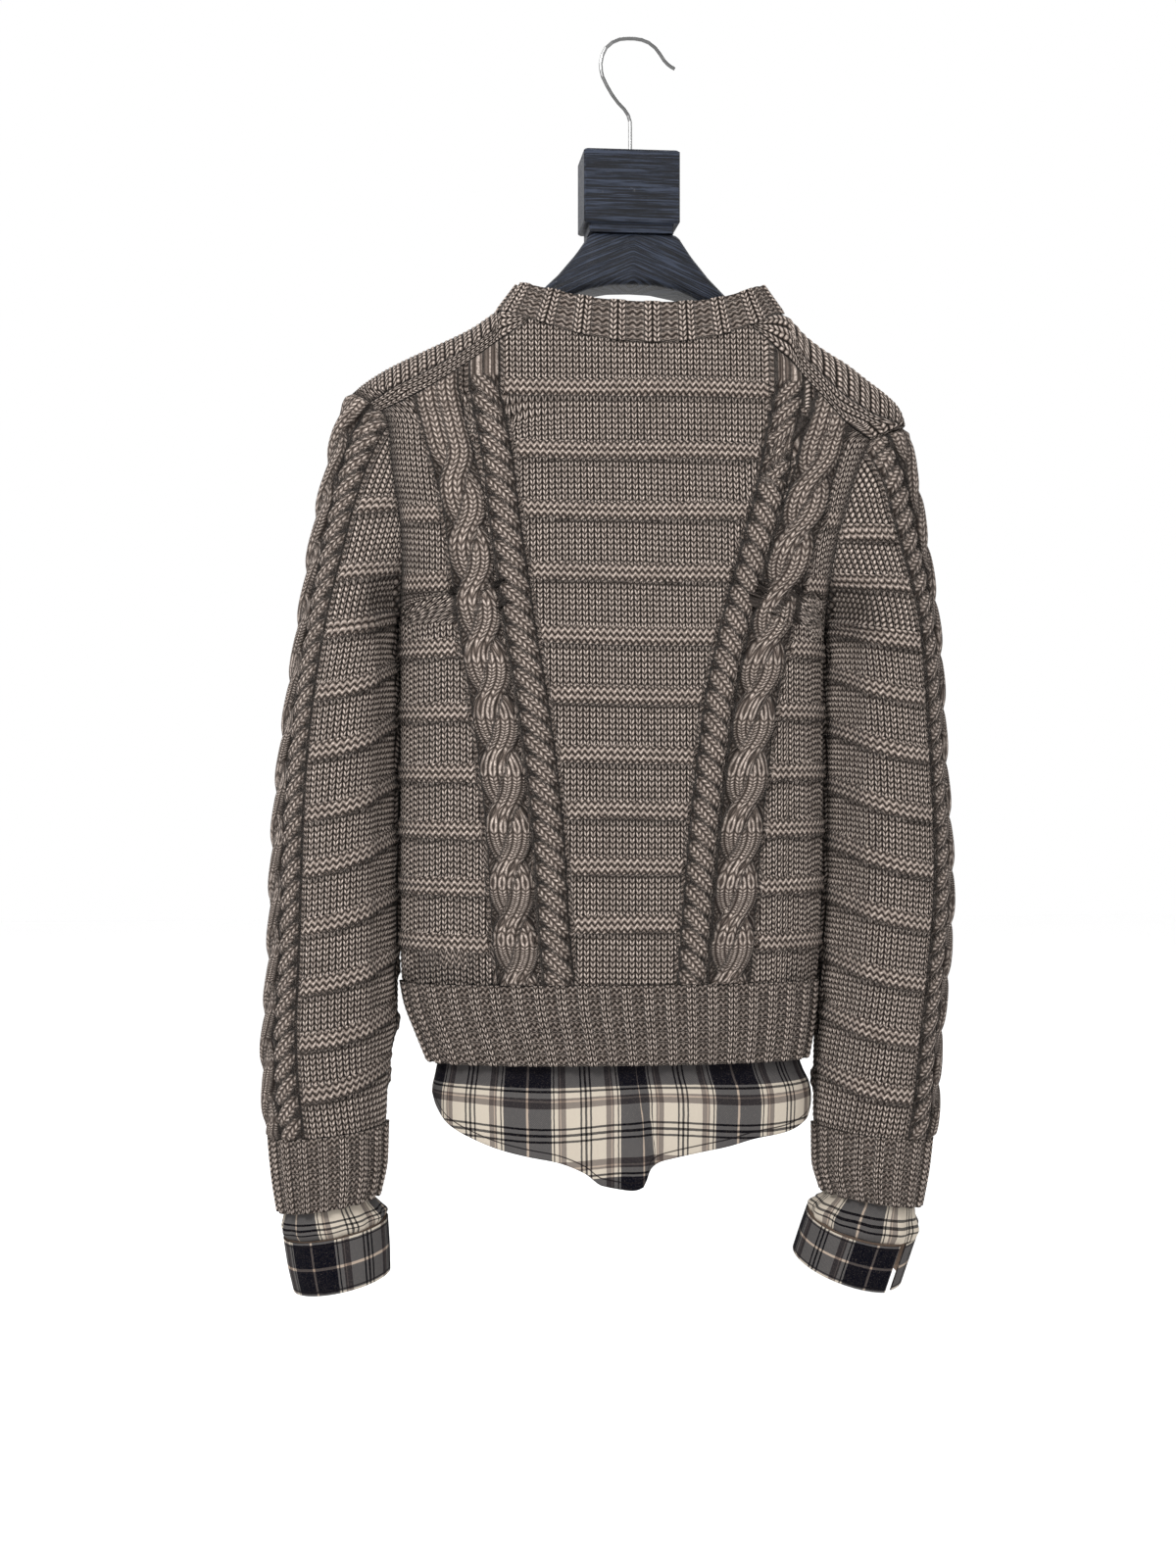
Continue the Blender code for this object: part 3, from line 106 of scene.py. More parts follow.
# left and right side of the body: height, x, depth of the panel's edge from the middle plane
LEFT_SIDE = np.array([
    (-272.9, -219, 22), (-289, -197, 22), (-299, -191.8, 28), (-325, -189.8, 36),
    (-340, -188.2, 39), (-364, -184.5, 42), (-383, -182.2, 42), (-404, -181.6, 39),
    (-424, -181.8, 31), (-441, -182.3, 19), (-450, -182.7, 8), (-454, -182.7, 0),
    (-472, -181.4, 0), (-500, -181.2, 0), (-600, -181.2, 0), (-700, -181.0, 0), (-729, -180, 0),
    (-740, -179, 0),
])
RIGHT_SIDE = np.array([
    (-293, 217, 22), (-305.6, 186, 22), (-320, 178.2, 28), (-343, 168.6, 36),
    (-367, 160.6, 42), (-388, 154.8, 42), (-408, 152.0, 38), (-425, 151.0, 30),
    (-440, 151.4, 19), (-449, 151.8, 8), (-453, 151.8, 0),
    (-471, 150.6, 0), (-500, 150.5, 0), (-600, 150.2, 0), (-700, 148, 0), (-729, 146, 0), (-740, 144.5, 0),
])
# depth of the body in front of and behind the middle plane: height, back, front
BODY_DEPTH = np.array([
    (-187, 24, 24), (-233, 31, 31), (-272, 36, 34), (-320, 42, 40), (-366, 48, 47),
    (-414, 54, 54), (-462, 59, 59), (-510, 62, 62), (-576, 64, 65), (-650, 64, 66), (-729, 62, 64),
    (-760, 61, 63),
])
# seam at the top of the back panel under the shoulder strips, outside the neck: x, height
BACK_TOP = np.array([
    (-197, -289), (-173.6, -278), (-151, -265), (-128.6, -250), (-110, -236.5), (-99, -229),
    (-94, -225), (-84, -217), (-78, -190), (86, -190), (91, -219), (97, -224), (107, -233),
    (113, -239), (120, -244.5),
    (135, -261.5), (150, -276.6), (165, -293), (186, -305.6),
])
# middle of each cable of the back: height, left braid, left rope, right rope, right braid
CABLES = np.array([
    (-272, -155, -118, 119, 158), (-306, -148, -112, 112, 147), (-332, -141.5, -108, 107, 139),
    (-366, -133.7, -104.5, 98, 128), (-397, -129.5, -100.3, 89, 118.5),
    (-427, -125.4, -96, 81, 110.4), (-455, -121.9, -92.5, 73, 102.4), (-501, -114.6, -85, 62, 91.5),
    (-556, -107, -77.5, 54, 83.5), (-613, -101.2, -71.5, 47.5, 77), (-687, -96.6, -67, 41.5, 71),
    (-729, -92.6, -63, 38.5, 68),
])
# garter ridges of the centre panel, and how much lower each one lies at the sides: height, sag
GARTERS = np.array([
    (-269.8, 0), (-319, 0), (-366, 4), (-413.7, 7), (-462.6, 9), (-508.2, 12), (-553.7, 13),
    (-596, 14), (-638.5, 15), (-682.5, 14),
])
# sleeves: height and x of the outer edge, height of the inner edge, x of the inner edge, depth
SLEEVE_LEFT = np.array([
    (-272.9, -219, -289, -197, 22), (-294, -228, -301, -192, 29.5), (-324, -234, -325, -190, 39),
    (-347, -239, -345, -188, 44), (-370, -243.5, -364, -184.5, 48), (-408, -250, -398, -183, 53),
    (-437, -255, -425, -183.5, 56), (-466, -260, -454, -183.0, 57), (-484, -262.6, -472, -184.2, 57.5),
    (-500, -265, -487, -184.6, 58),
    (-576, -272.6, -562, -184.6, 59), (-652, -278, -637, -184.6, 58), (-729, -282, -713, -184.4, 56),
    (-772, -284.5, -757, -184.3, 54), (-812, -283.4, -798, -191, 51), (-848, -282, -838, -193, 47),
    (-880, -279, -868, -194, 44), (-906, -275, -893.5, -199, 42),
])
SLEEVE_RIGHT = np.array([
    (-293, 217, -305.6, 186, 22), (-315, 220.5, -318, 179, 29), (-343, 225.5, -343, 168.6, 39),
    (-366, 229, -364, 161.6, 44), (-389, 232, -386, 155, 48), (-420, 235.5, -413, 153.5, 53),
    (-445, 238.5, -435, 153.6, 56), (-464, 240.5, -453, 152.2, 57), (-483, 242.2, -472, 153.6, 57.5),
    (-498, 243.5, -487, 154, 58),
    (-576, 248, -563, 154, 59), (-654, 250.5, -640, 153.5, 58), (-731, 247.5, -717, 150.4, 56),
    (-776, 243.5, -762, 148.3, 54), (-817, 241, -803, 147, 51), (-856, 238, -845, 146.5, 47),
    (-885, 234.5, -874, 146.8, 44), (-910, 229.5, -897.5, 153, 42),
])
SLEEVES = {-1: SLEEVE_LEFT, 1: SLEEVE_RIGHT}
SIDES = {-1: "left", 1: "right"}
SLEEVE_GARTERS_LEFT = (-369, -421, -463, -510, -554.5, -601, -643, -688, -734, -776, -815.5)
SLEEVE_GARTERS_RIGHT = (-384, -425, -469, -511, -556, -602, -646, -688, -735, -779, -823)
# rib at the hem, and the shirt tail inside and under it: height, middle, half width, back, front
HEM = np.array([
    (-729, -17, 163, 62, 64), (-745, -16, 161, 62.5, 64.5), (-768, -13, 155.5, 60.5, 62.5),
    (-791, -10.3, 149, 58, 60),
])
TAIL = np.array([
    (-772, -12.5, 149.4, 55.6, 57.6), (-791, -10.3, 143.0, 51.5, 53.5), (-800, -9.5, 145, 53, 54),
    (-812, -8.0, 149, 55, 55), (-822, -7.6, 150, 56, 56), (-845, -7.8, 149, 57.5, 56),
    (-890, -8, 147, 58.5, 56),
])
# bottom edge of the shirt tails: x, height at the back, height at the front
TAIL_HEM = np.array([
    (-158, -816, -816), (-155, -825, -822), (-147, -837, -829), (-129, -847, -837),
    (-107, -855, -843), (-85, -860, -848), (-63, -864, -852), (-41, -872.5, -855),
    (-27, -882, -857), (-5, -885, -858), (6.5, -881.5, -857), (10, -870.5, -857),
    (27, -862.5, -855), (50, -858.5, -852), (74, -855, -848), (98, -849.5, -842),
    (123, -846, -835), (143, -838, -827), (150.5, -822, -820),
])
# neck opening where the band is sewn on: its middle and half width, its drop below the shoulders
NECK_MID, NECK_HALF = 6.5, 111.5
NECK_DROP_BACK, NECK_DROP_FRONT, NECK_ROUND = 40.0, 98.0, 1.6
BAND_RISE_BACK, BAND_RISE_SIDE, BAND_RISE_FRONT = 31.0, 20.0, 26.0
BAND_LEAN_SIDE, BAND_LEAN_BACK = 15.0, 2.0
# gathered ends of the shirt sleeves and their cuff bands:
# middle x, height, half width, depth, rise per x, rise per y
SHIRT_END_LEFT = np.array([
    (-237, -884, 33, 36, 0.15, 0.0), (-237, -899, 34.2, 38, 0.15, 0.0),
    (-235, -908, 38, 40, 0.16, 0.02), (-233, -914, 40, 41, 0.18, 0.05),
    (-232, -918.6, 38, 37.5, 0.19, 0.07),
])
BAND_LEFT = np.array([
    (-231.8, -919.2, 40.5, 40, 0.19, 0.07), (-229.5, -940, 39.5, 39.5, 0.2, 0.07),
    (-227, -960, 37.5, 38, 0.2, 0.08),
])
SHIRT_END_RIGHT = np.array([
    (191, -888, 33, 36, -0.16, 0.0), (191, -903, 34.4, 38, -0.16, 0.0),
    (188, -911.5, 39, 40, -0.17, 0.08), (186, -918, 43, 41, -0.19, 0.18),
    (184.7, -923.4, 42, 38, -0.2, 0.26),
])
BAND_RIGHT = np.array([
    (184.5, -924, 44.6, 41, -0.2, 0.26), (178.5, -941, 44.2, 40.5, -0.23, 0.27),
    (172.7, -958, 43.7, 40, -0.26, 0.28),
])
BAND_RIGHT_START, BAND_RIGHT_TURN = 30.0, -342.0
# wooden arms inside the shoulders: x, top, bottom, half depth
ARMS = np.array([
    (-193, -260.7, -284, 8), (-184, -254.9, -281, 9.5), (-170, -247.9, -275, 11),
    (-150, -237.9, -264, 11.5), (-125, -225.1, -249, 12), (-107, -217.5, -237, 9), (-92, -206, -225, 11),
    (-77, -195.5, -212, 17), (-60, -180, -203, 21), (-46, -163.5, -195, 22.5),
    (-36, -149, -191, 23.5), (-33, -147.4, -190.5, 24), (-18, -147.4, -187.6, 24),
    (0, -147.4, -187, 24), (16, -147.4, -187.6, 24), (31, -147.4, -190.5, 24),
    (34, -149, -191, 23.5), (44, -163.5, -195, 22.5), (58, -180, -203, 21),
    (75, -195.5, -212, 17), (92, -208, -225, 11), (108, -213.6, -237, 9),
    (124, -222, -249, 12), (150, -236.6, -264, 11.5), (168, -248.2, -276, 11),
    (180, -258.5, -285, 9.5), (188, -267, -290, 8),
])


def follow(table, column, at):
    """Smooth curve through one column of a table, read at heights or places of its first column."""
    keys, values = table[:, 0].astype(float), table[:, column].astype(float)
    if keys[0] > keys[-1]:
        keys, values = keys[::-1], values[::-1]
    at = np.clip(np.asarray(at, float), keys[0], keys[-1])
    slope = np.diff(values) / np.diff(keys)
    tangent = np.zeros_like(values)
    same_way = slope[1:] * slope[:-1] > 0
    mean = 2 * slope[1:] * slope[:-1] / np.where(same_way, slope[1:] + slope[:-1], 1)
    tangent[1:-1] = np.where(same_way, mean, 0)
    tangent[0], tangent[-1] = slope[0], slope[-1]
    i = np.clip(np.searchsorted(keys, at) - 1, 0, len(keys) - 2)
    width = keys[i + 1] - keys[i]
    f = (at - keys[i]) / width
    start = values[i] * (1 + 2 * f) + tangent[i] * width * f
    end = values[i + 1] * (3 - 2 * f) + tangent[i + 1] * width * (f - 1)
    return start * (1 - f) ** 2 + end * f ** 2


def smooth(low, high, value):
    """0 at low, 1 at high, and a soft curve between."""
    f = np.clip((np.asarray(value, float) - low) / (high - low), 0, 1)
    return f * f * (3 - 2 * f)


def unit(vectors):
    return vectors / np.maximum(np.linalg.norm(vectors, axis=-1, keepdims=True), 1e-9)


def lengths(points):
    """Length along each line of points, from its first point."""
    steps = np.cumsum(np.linalg.norm(np.diff(points, axis=-2), axis=-1), axis=-1)
    return np.concatenate([np.zeros(steps.shape[:-1] + (1,)), steps], axis=-1)


def side_x(table, z):
    """x of one side of the body; straight across the end of the shoulder, then smooth."""
    (z0, x0, _), (z1, x1, _) = table[:2]
    straight = x1 + (x0 - x1) * np.clip((z - z1) / (z0 - z1), 0, 1)
    return np.where(np.asarray(z) > z1, straight, follow(table[1:], 1, z))


def body_edge(s, z):
    """Depth of the panel's edge on the side of s."""
    edge = np.where(s < 0, follow(LEFT_SIDE, 2, z), follow(RIGHT_SIDE, 2, z))
    return np.maximum(edge, 0.0)


def body_x(s, z, deep):
    left, right = side_x(LEFT_SIDE, z), side_x(RIGHT_SIDE, z)
    angle = s * math.pi / 2
    full = np.sin(angle) * (1 + OVAL_FULLNESS * np.cos(angle) ** 2)
    flat = smooth(0.0, 0.7, body_edge(s, z) / deep)
    return (left + right) / 2 + (right - left) / 2 * (full * (1 - flat) + s * flat)


def ridge_table():
    """Height of the shoulder line for a row of s."""
    s = np.linspace(-1, 1, 801)
    z = np.full_like(s, -230.0)
    for _ in range(60):
        z = 0.5 * z + 0.5 * follow(RIDGE, 1, body_x(s, z, follow(BODY_DEPTH, 1, z)))
    return s, z


RIDGE_S, RIDGE_Z = ridge_table()


def ridge_height(s):
    return np.interp(s, RIDGE_S, RIDGE_Z)


def ridge_radius(s):
    tip = np.where(s < 0, ARM_RIDGE_LEFT, ARM_RIDGE_RIGHT)
    return RIDGE_RADIUS + (tip - RIDGE_RADIUS) * np.abs(s) ** 8


def way_down(s, z):
    """Length along the cloth from the shoulder line down to height z."""
    radius = ridge_radius(s)
    drop = np.maximum(ridge_height(s) - z, 0.0)
    bend = radius * np.arccos(np.clip(1 - drop / radius, -1, 1))
    return np.where(drop < radius, bend, drop - radius + radius * math.pi / 2)


def body_fold(s, z):
    """Soft hanging folds of the body, deeper towards the hem."""
    low = smooth(-430, -700, z)
    return low * (1.6 * np.sin(5.2 * s + 0.6) + 1.1 * np.sin(9.5 * s + 2.0)) * np.cos(s * math.pi / 2)


def body_point(s, w):
    """Point of the knit's face: w is the way over the shoulder line, negative at the back."""
    s, w = np.broadcast_arrays(np.asarray(s, float), np.asarray(w, float))
    radius = ridge_radius(s)
    turn = np.clip(w / radius, -math.pi / 2, math.pi / 2)
    over = np.maximum(np.abs(w) - radius * math.pi / 2, 0)
    z = ridge_height(s) - radius * (1 - np.cos(turn)) - over
    deep = np.where(w < 0, follow(BODY_DEPTH, 1, z), follow(BODY_DEPTH, 2, z))
    edge = np.minimum(body_edge(s, z), deep)
    depth = edge + (deep - edge) * np.cos(s * math.pi / 2) + body_fold(s, z)
    return np.stack([body_x(s, z, deep), depth * np.sin(turn), z], -1)


def normals(surface, u, v, du=0.002, dv=0.5):
    """Unit outward normals of a surface(u, v) whose u runs to the right of someone facing it."""
    along = surface(u + du, v) - surface(u - du, v)
    up = surface(u, v + dv) - surface(u, v - dv)
    return unit(np.cross(along, up))


def level_end(out, row):
    """Turns one row's normals level, so that two pieces meet in a level cut."""
    out[row, ..., 2] = 0.0
    out[row] = unit(out[row])
    return out


def armhole_inward(point, sign):
    """Direction through the cloth at an armhole: across the seam's own loop, then across the side."""
    x, y, z = point[..., 0], point[..., 1], point[..., 2]
    loop = unit(np.stack([0 * x, -y / 42.0 ** 2, -(z + 364) / 91.0 ** 2], -1))
    over = smooth(-345, -300, z) * np.clip(1 - (y / 30) ** 2, 0, 1)
    loop[..., 0] -= 1.2 * over * np.sign(x)
    side = np.stack([sign + 0 * x, 0 * x, 0 * x], -1)
    below = smooth(-425, -462, z)[..., None]
    return unit(loop * (1 - below) + side * below)


def sleeve_point(side, t, v):
    """Point of a sleeve's face; v is the height of the row at its outer edge."""
    t, v = np.broadcast_arrays(np.asarray(t, float), np.asarray(v, float))
    table, body = SLEEVES[side], LEFT_SIDE if side < 0 else RIGHT_SIDE
    armpit = body[np.argmin(np.where(body[:, 2] == 0, -body[:, 0], 1e9)), 0]
    inner_z = follow(table, 2, v)
    above = inner_z > armpit
    outer_x = follow(table, 1, v)
    inner_x = np.where(above, side_x(body, inner_z), follow(table, 3, v))
    edge = np.where(above, np.maximum(follow(body, 2, inner_z), 0), 0)
    deep = follow(table, 4, v)
    reach = math.pi - np.arcsin(np.clip(edge / deep, 0, 1))
    share = (1 - np.cos(reach * t)) / (1 - np.cos(reach))
    y = deep * np.sin(reach * t)
    x = outer_x + (inner_x - outer_x) * share
    return np.stack([x, y, v + (inner_z - v) * share], -1)


def oval_point(table, angle, z):
    """Point of the hem or the shirt tail, whose table has height, middle, half width and depths."""
    angle, z = np.broadcast_arrays(np.asarray(angle, float), np.asarray(z, float))
    full = np.sin(angle) * (1 + OVAL_FULLNESS * np.cos(angle) ** 2)
    deep = np.where(np.cos(angle) > 0, follow(table, 3, z), follow(table, 4, z))
    x = follow(table, 1, z) + follow(table, 2, z) * full
    return np.stack([x, -deep * np.cos(angle), z], -1)


def neck_seam(angle):
    """Line where the neckband meets the panels."""
    x = NECK_MID + NECK_HALF * np.sin(angle)
    drop = np.where(np.cos(angle) > 0, NECK_DROP_BACK, NECK_DROP_FRONT)
    return x, follow(RIDGE, 1, x) - drop * np.abs(np.cos(angle)) ** NECK_ROUND


def s_of_x(x, z):
    """The s at which the body's face has that x at that height."""
    low, high = np.full_like(x, -1.0), np.full_like(x, 1.0)
    deep = follow(BODY_DEPTH, 1, z)
    for _ in range(40):
        middle = (low + high) / 2
        less = body_x(middle, z, deep) < x
        low, high = np.where(less, middle, low), np.where(less, high, middle)
    return (low + high) / 2


def neck_height(x, front):
    """Height of the neck's edge at x, on the back or the front."""
    across = np.clip((np.asarray(x, float) - NECK_MID) / NECK_HALF, -1, 1)
    angle = np.arcsin(across)
    return neck_seam(math.pi - angle if front else angle)[1]


def strip_bottom(_, x):
    """Upper edge of the back panel at x: the shoulder strip's seam, or the neck's edge."""
    neck = neck_height(x, False) - NECK_GAP_BACK + SEAM_HALF
    return np.minimum(follow(BACK_TOP, 1, x), neck)


def strip_top(s, x):
    """Seam between the shoulder strip and the front panel, which comes over from the front."""
    ridge = ridge_height(s)
    return ridge - STRIP_SHARE * (ridge - follow(BACK_TOP, 1, x))


def hem_surface(u, v):
    """The rib's face carries the body's folds on and lets them fade towards its edge."""
    point = oval_point(HEM, u, v)
    s = np.arcsin(np.clip(np.sin(u), -1, 1)) / (math.pi / 2)
    fade = 1 - smooth(-740, -790, point[..., 2])
    point[..., 1] -= np.sign(np.cos(u)) * body_fold(s, HEM_SEAM) * fade
    return point


def fold_line(z):
    """x of the shirt tail's sharp fold."""
    return -5 + 12 * smooth(-787, -875, z)


def tail_fold(x, z):
    """Depth that the shirt tail's folds add at x, with one sharp fold near the middle."""
    low = smooth(-785, -880, z)
    fold_x = fold_line(z)
    sharp = np.exp(-((x - fold_x + 9) / 11) ** 2) - 0.9 * np.exp(-((x - fold_x - 6) / 8) ** 2)
    waves = 1.6 * np.sin(x / 17.0 + 0.4) + 1.4 * np.sin(x / 29.0 + 2.2)
    return low * (6.0 * sharp + waves)


def tail_surface(front):
    def surface(u, v):
        """u is the angle round the body and v the share of the way down, negative."""
        u, v = np.broadcast_arrays(np.asarray(u, float), np.asarray(v, float))
        full = np.sin(u) * (1 + OVAL_FULLNESS * np.cos(u) ** 2)
        hem = follow(TAIL_HEM, 2 if front else 1, -4.0 + 154.0 * full)
        z = TAIL[0, 0] + (hem - TAIL[0, 0]) * -v
        point = oval_point(TAIL, u, z)
        fold = tail_fold(point[..., 0], z) * np.abs(np.cos(u)) ** 0.5
        point[..., 1] += fold * np.where(np.cos(u) > 0, -1.0, 0.5)
        return point
    return surface


def cuff_point(table, angle, row):
    """Point of a shirt sleeve end or band; row counts down through its table."""
    angle, row = np.broadcast_arrays(np.asarray(angle, float), np.asarray(row, float))
    steps = np.column_stack([np.arange(len(table)), table])
    mid, z, half, deep, rise_x, rise_y = (follow(steps, c, row) for c in range(1, 7))
    across, away = half * np.sin(angle), -deep * np.cos(angle)
    return np.stack([mid + across, away, z + rise_x * across + rise_y * away], -1)


def cuff_surface(table, pleats=0.0):
    def surface(u, v):
        point = cuff_point(table, u, -np.asarray(v, float))
        if pleats:
            row = -np.broadcast_to(v, point.shape[:-1])
            grow = smooth(1.2, 3.0, row) * (1 - 0.5 * smooth(3.2, 4.0, row))
            size = 1 + pleats * grow * np.cos(GATHERS * np.asarray(u, float) + 0.8)
            middle = follow(np.column_stack([np.arange(len(table)), table]), 1, row)
            point[..., 0] = (point[..., 0] - middle) * size + middle
            point[..., 1] *= size
        return point
    return surface


def open_band(u, v):
    """The open cuff: its under end curls in behind its upper end."""
    point = cuff_point(BAND_RIGHT, u, -np.asarray(v, float))
    start = math.radians(BAND_RIGHT_START)
    wound = (start - np.asarray(u, float)) / math.radians(-BAND_RIGHT_TURN)
    size = 1 - 0.10 * smooth(0.86, 1.0, wound)
    middle = follow(np.column_stack([np.arange(3), BAND_RIGHT]), 1, -np.asarray(v, float))
    point[..., 0] = (point[..., 0] - middle) * size + middle
    point[..., 1] = point[..., 1] * size
    return point


WALE, COURSE = 4.95, 4.3
LEAN = 0.72
STITCH = 1.0
RIDGE_HALF = 7.8


# ---- walls: lines of points with their own cloth data, joined across ----

class Wall:
    """Points, cloth data and faces of one closed wall, made of lines that run along it."""

    def __init__(self):
        self.points, self.data, self.faces = [], [], []
        self.count = 0

    def line(self, points, along, across, data=None):
        """Adds a line of points with rising place numbers along it, and its own place across."""
        start = self.count
        self.points.append(np.asarray(points, float))
        self.data.append(np.zeros((len(points), 4)) if data is None else data)
        self.count += len(points)
        return list(range(start, self.count)), [float(place) for place in along], across

    def join(self, a, b, flip=False):
        """Fills between two lines with triangles that stay level with their place numbers."""
        (ia, pa), (ib, pb) = a[:2], b[:2]
        i = j = 0
        end_a, end_b = len(ia) - 1, len(ib) - 1
        add = self.faces.append
        while i < end_a or j < end_b:
            step_a = j == end_b
            if i < end_a and j < end_b:
                step_a = pa[i + 1] + pa[i] <= pb[j + 1] + pb[j]
            if step_a:
                face = (ia[i], ib[j], ia[i + 1]) if flip else (ia[i], ia[i + 1], ib[j])
                i += 1
            else:
                face = (ia[i], ib[j], ib[j + 1]) if flip else (ia[i], ib[j + 1], ib[j])
                j += 1
            add(face)

    def close(self, outer, inner, ring=False):
        """Joins the face lines, the inside lines and the rims between them."""
        for lines, flip in ((outer, False), (inner, True)):
            following = lines[1:] + lines[:1] if ring else lines[1:]
            for a, b in zip(lines, following):
                self.join(a, b, flip)
        for end, flip in ((0, False), (-1, True)):
            self.join(rim(outer, end, ring), rim(inner, end, ring), flip)
        if not ring:
            self.join(outer[0], inner[0], flip=True)
            self.join(outer[-1], inner[-1])

    def build(self, name, node, look, wrap=0.0):
        points = (np.concatenate(self.points) - (0, 0, HOOK_SEAT_DROP)) * MM
        return make_piece(name, node, points, self.faces, look, np.concatenate(self.data), wrap)


def rim(lines, end, ring):
    """The row of points at one end of the lines."""
    index = [line[0][end] for line in lines]
    places = [line[2] for line in lines]
    if ring:
        index, places = index + index[:1], places + [places[0] + ring]
    return index, places


def make_piece(name, node, points, faces, look, data=None, wrap=0.0):
    """A named piece that rides on the body in place of its solid, with its cloth data as two UV maps."""
    mesh = bpy.data.meshes.new(name)
    mesh.from_pydata(points.tolist(), [], faces)
    mesh.validate()
    if data is not None:
        corner = np.empty(len(mesh.loops), np.int32)
        mesh.loops.foreach_get("vertex_index", corner)
        stitch, relief = data[corner, :2], data[corner, 2:]
        if wrap:
            first = stitch[:, 0].reshape(-1, 3)
            low = first < first.max(axis=1, keepdims=True) - wrap / 2
            stitch[:, 0] = (first + np.where(low, wrap, 0)).ravel()
        for layer, values in (("stitch", stitch), ("relief", relief)):
            mesh.uv_layers.new(name=layer).data.foreach_set("uv", values.astype(np.float32).ravel())
    mesh.shade_smooth()
    obj = bpy.data.objects.new(name, mesh)
    bpy.context.scene.collection.objects.link(obj)
    material, slot = LOOKS[look]
    obj.data.materials.append(material)
    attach(obj, "root")
    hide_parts(node)
    return obj


# ---- node materials, written as sums ----

def feed(tree, value, socket):
    """Gives a socket a number, a colour, a Sum or another node's output."""
    if isinstance(value, Sum):
        tree.links.new(value.socket, socket)
    elif isinstance(value, tuple):
        socket.default_value = (*value, 1.0)
    elif isinstance(value, (int, float)):
        socket.default_value = value
    else:
        tree.links.new(value, socket)


class Sum:
    """A number that a material's nodes work out."""

    def __init__(self, tree, socket):
        self.tree, self.socket = tree, socket

    def do(self, operation, *others, clamp=False):
        node = self.tree.nodes.new("ShaderNodeMath")
        node.operation = operation
        node.use_clamp = clamp
        for place, value in enumerate((self,) + others):
            feed(self.tree, value, node.inputs[place])
        return Sum(self.tree, node.outputs[0])

    def held(self):
        return self.do("ADD", 0.0, clamp=True)

    def over(self, low, high):
        """0 below low, 1 above high, soft between."""
        node = self.tree.nodes.new("ShaderNodeMapRange")
        node.interpolation_type = "SMOOTHSTEP"
        self.tree.links.new(self.socket, node.inputs["Value"])
        node.inputs["From Min"].default_value = low
        node.inputs["From Max"].default_value = high
        return Sum(self.tree, node.outputs["Result"])

    def to(self, other, share):
        """Goes from this number to the other as share goes from 0 to 1."""
        return self + (other - self) * share


for name, operation in (("__add__", "ADD"), ("__sub__", "SUBTRACT"), ("__mul__", "MULTIPLY"),
                        ("__pow__", "POWER"), ("fract", "FRACT"), ("size", "ABSOLUTE"), ("sine", "SINE")):
    setattr(Sum, name, lambda self, *others, operation=operation: self.do(operation, *others))


class Look:
    """One procedural material under construction."""

    def __init__(self, name, roughness, metallic=0.0):
        self.material = bpy.data.materials.new(name)
        self.material.use_nodes = True
        self.tree = self.material.node_tree
        self.shader = self.tree.nodes["Principled BSDF"]
        self.shader.inputs["Roughness"].default_value = roughness
        self.shader.inputs["Metallic"].default_value = metallic

    def layer(self, name):
        node = self.tree.nodes.new("ShaderNodeUVMap")
        node.uv_map = name
        split = self.tree.nodes.new("ShaderNodeSeparateXYZ")
        self.tree.links.new(node.outputs[0], split.inputs[0])
        return Sum(self.tree, split.outputs[0]), Sum(self.tree, split.outputs[1])

    def place(self, scale=(1.0, 1.0, 1.0)):
        """The object's own coordinates, scaled."""
        coords = self.tree.nodes.new("ShaderNodeTexCoord")
        mapping = self.tree.nodes.new("ShaderNodeMapping")
        mapping.inputs["Scale"].default_value = scale
        self.tree.links.new(coords.outputs["Object"], mapping.inputs["Vector"])
        return mapping.outputs[0]

    def noise(self, vector, scale, detail=2.0, roughness=0.5):
        node = self.tree.nodes.new("ShaderNodeTexNoise")
        node.inputs["Scale"].default_value = scale
        node.inputs["Detail"].default_value = detail
        node.inputs["Roughness"].default_value = roughness
        self.tree.links.new(vector, node.inputs["Vector"])
        return Sum(self.tree, node.outputs[0])

    def vector(self, x, y, z=0.0):
        node = self.tree.nodes.new("ShaderNodeCombineXYZ")
        for place, value in enumerate((x, y, z)):
            feed(self.tree, value, node.inputs[place])
        return node.outputs[0]

    def blend(self, first, second, share, kind="MIX"):
        node = self.tree.nodes.new("ShaderNodeMix")
        node.data_type = "RGBA"
        node.blend_type = kind
        for place, value in ((6, first), (7, second), (0, share)):
            feed(self.tree, value, node.inputs[place])
        return node.outputs[2]

    def ramp(self, value, stops):
        node = self.tree.nodes.new("ShaderNodeValToRGB")
        node.color_ramp.interpolation = "CONSTANT"
        elements = node.color_ramp.elements
        while len(elements) < len(stops):
            elements.new(0.5)
        for element, (at, colour) in zip(elements, stops):
            element.position = at
            element.color = (*colour, 1.0)
        self.tree.links.new(value.socket, node.inputs[0])
        return node.outputs[0]

    def bump(self, height, distance, strength=1.0, below=None):
        node = self.tree.nodes.new("ShaderNodeBump")
        node.inputs["Distance"].default_value = distance
        node.inputs["Strength"].default_value = strength
        self.tree.links.new(height.socket, node.inputs["Height"])
        if below is not None:
            self.tree.links.new(below, node.inputs["Normal"])
        return node.outputs[0]

    def finish(self, colour, normal):
        self.tree.links.new(colour, self.shader.inputs["Base Color"])
        if normal is not None:
            self.tree.links.new(normal, self.shader.inputs["Normal"])
        return self.material


# dark of the painted shade in hollows and of dark flecks, the mid tone, and the painted highlight on stitch
# crowns with light flecks
WOOL_SHADE_AND_FLECK, WOOL_MID, WOOL_HIGHLIGHT_AND_FLECK = (0.008, 0.006, 0.005), (0.140, 0.110, 0.093), (0.62, 0.53, 0.47)


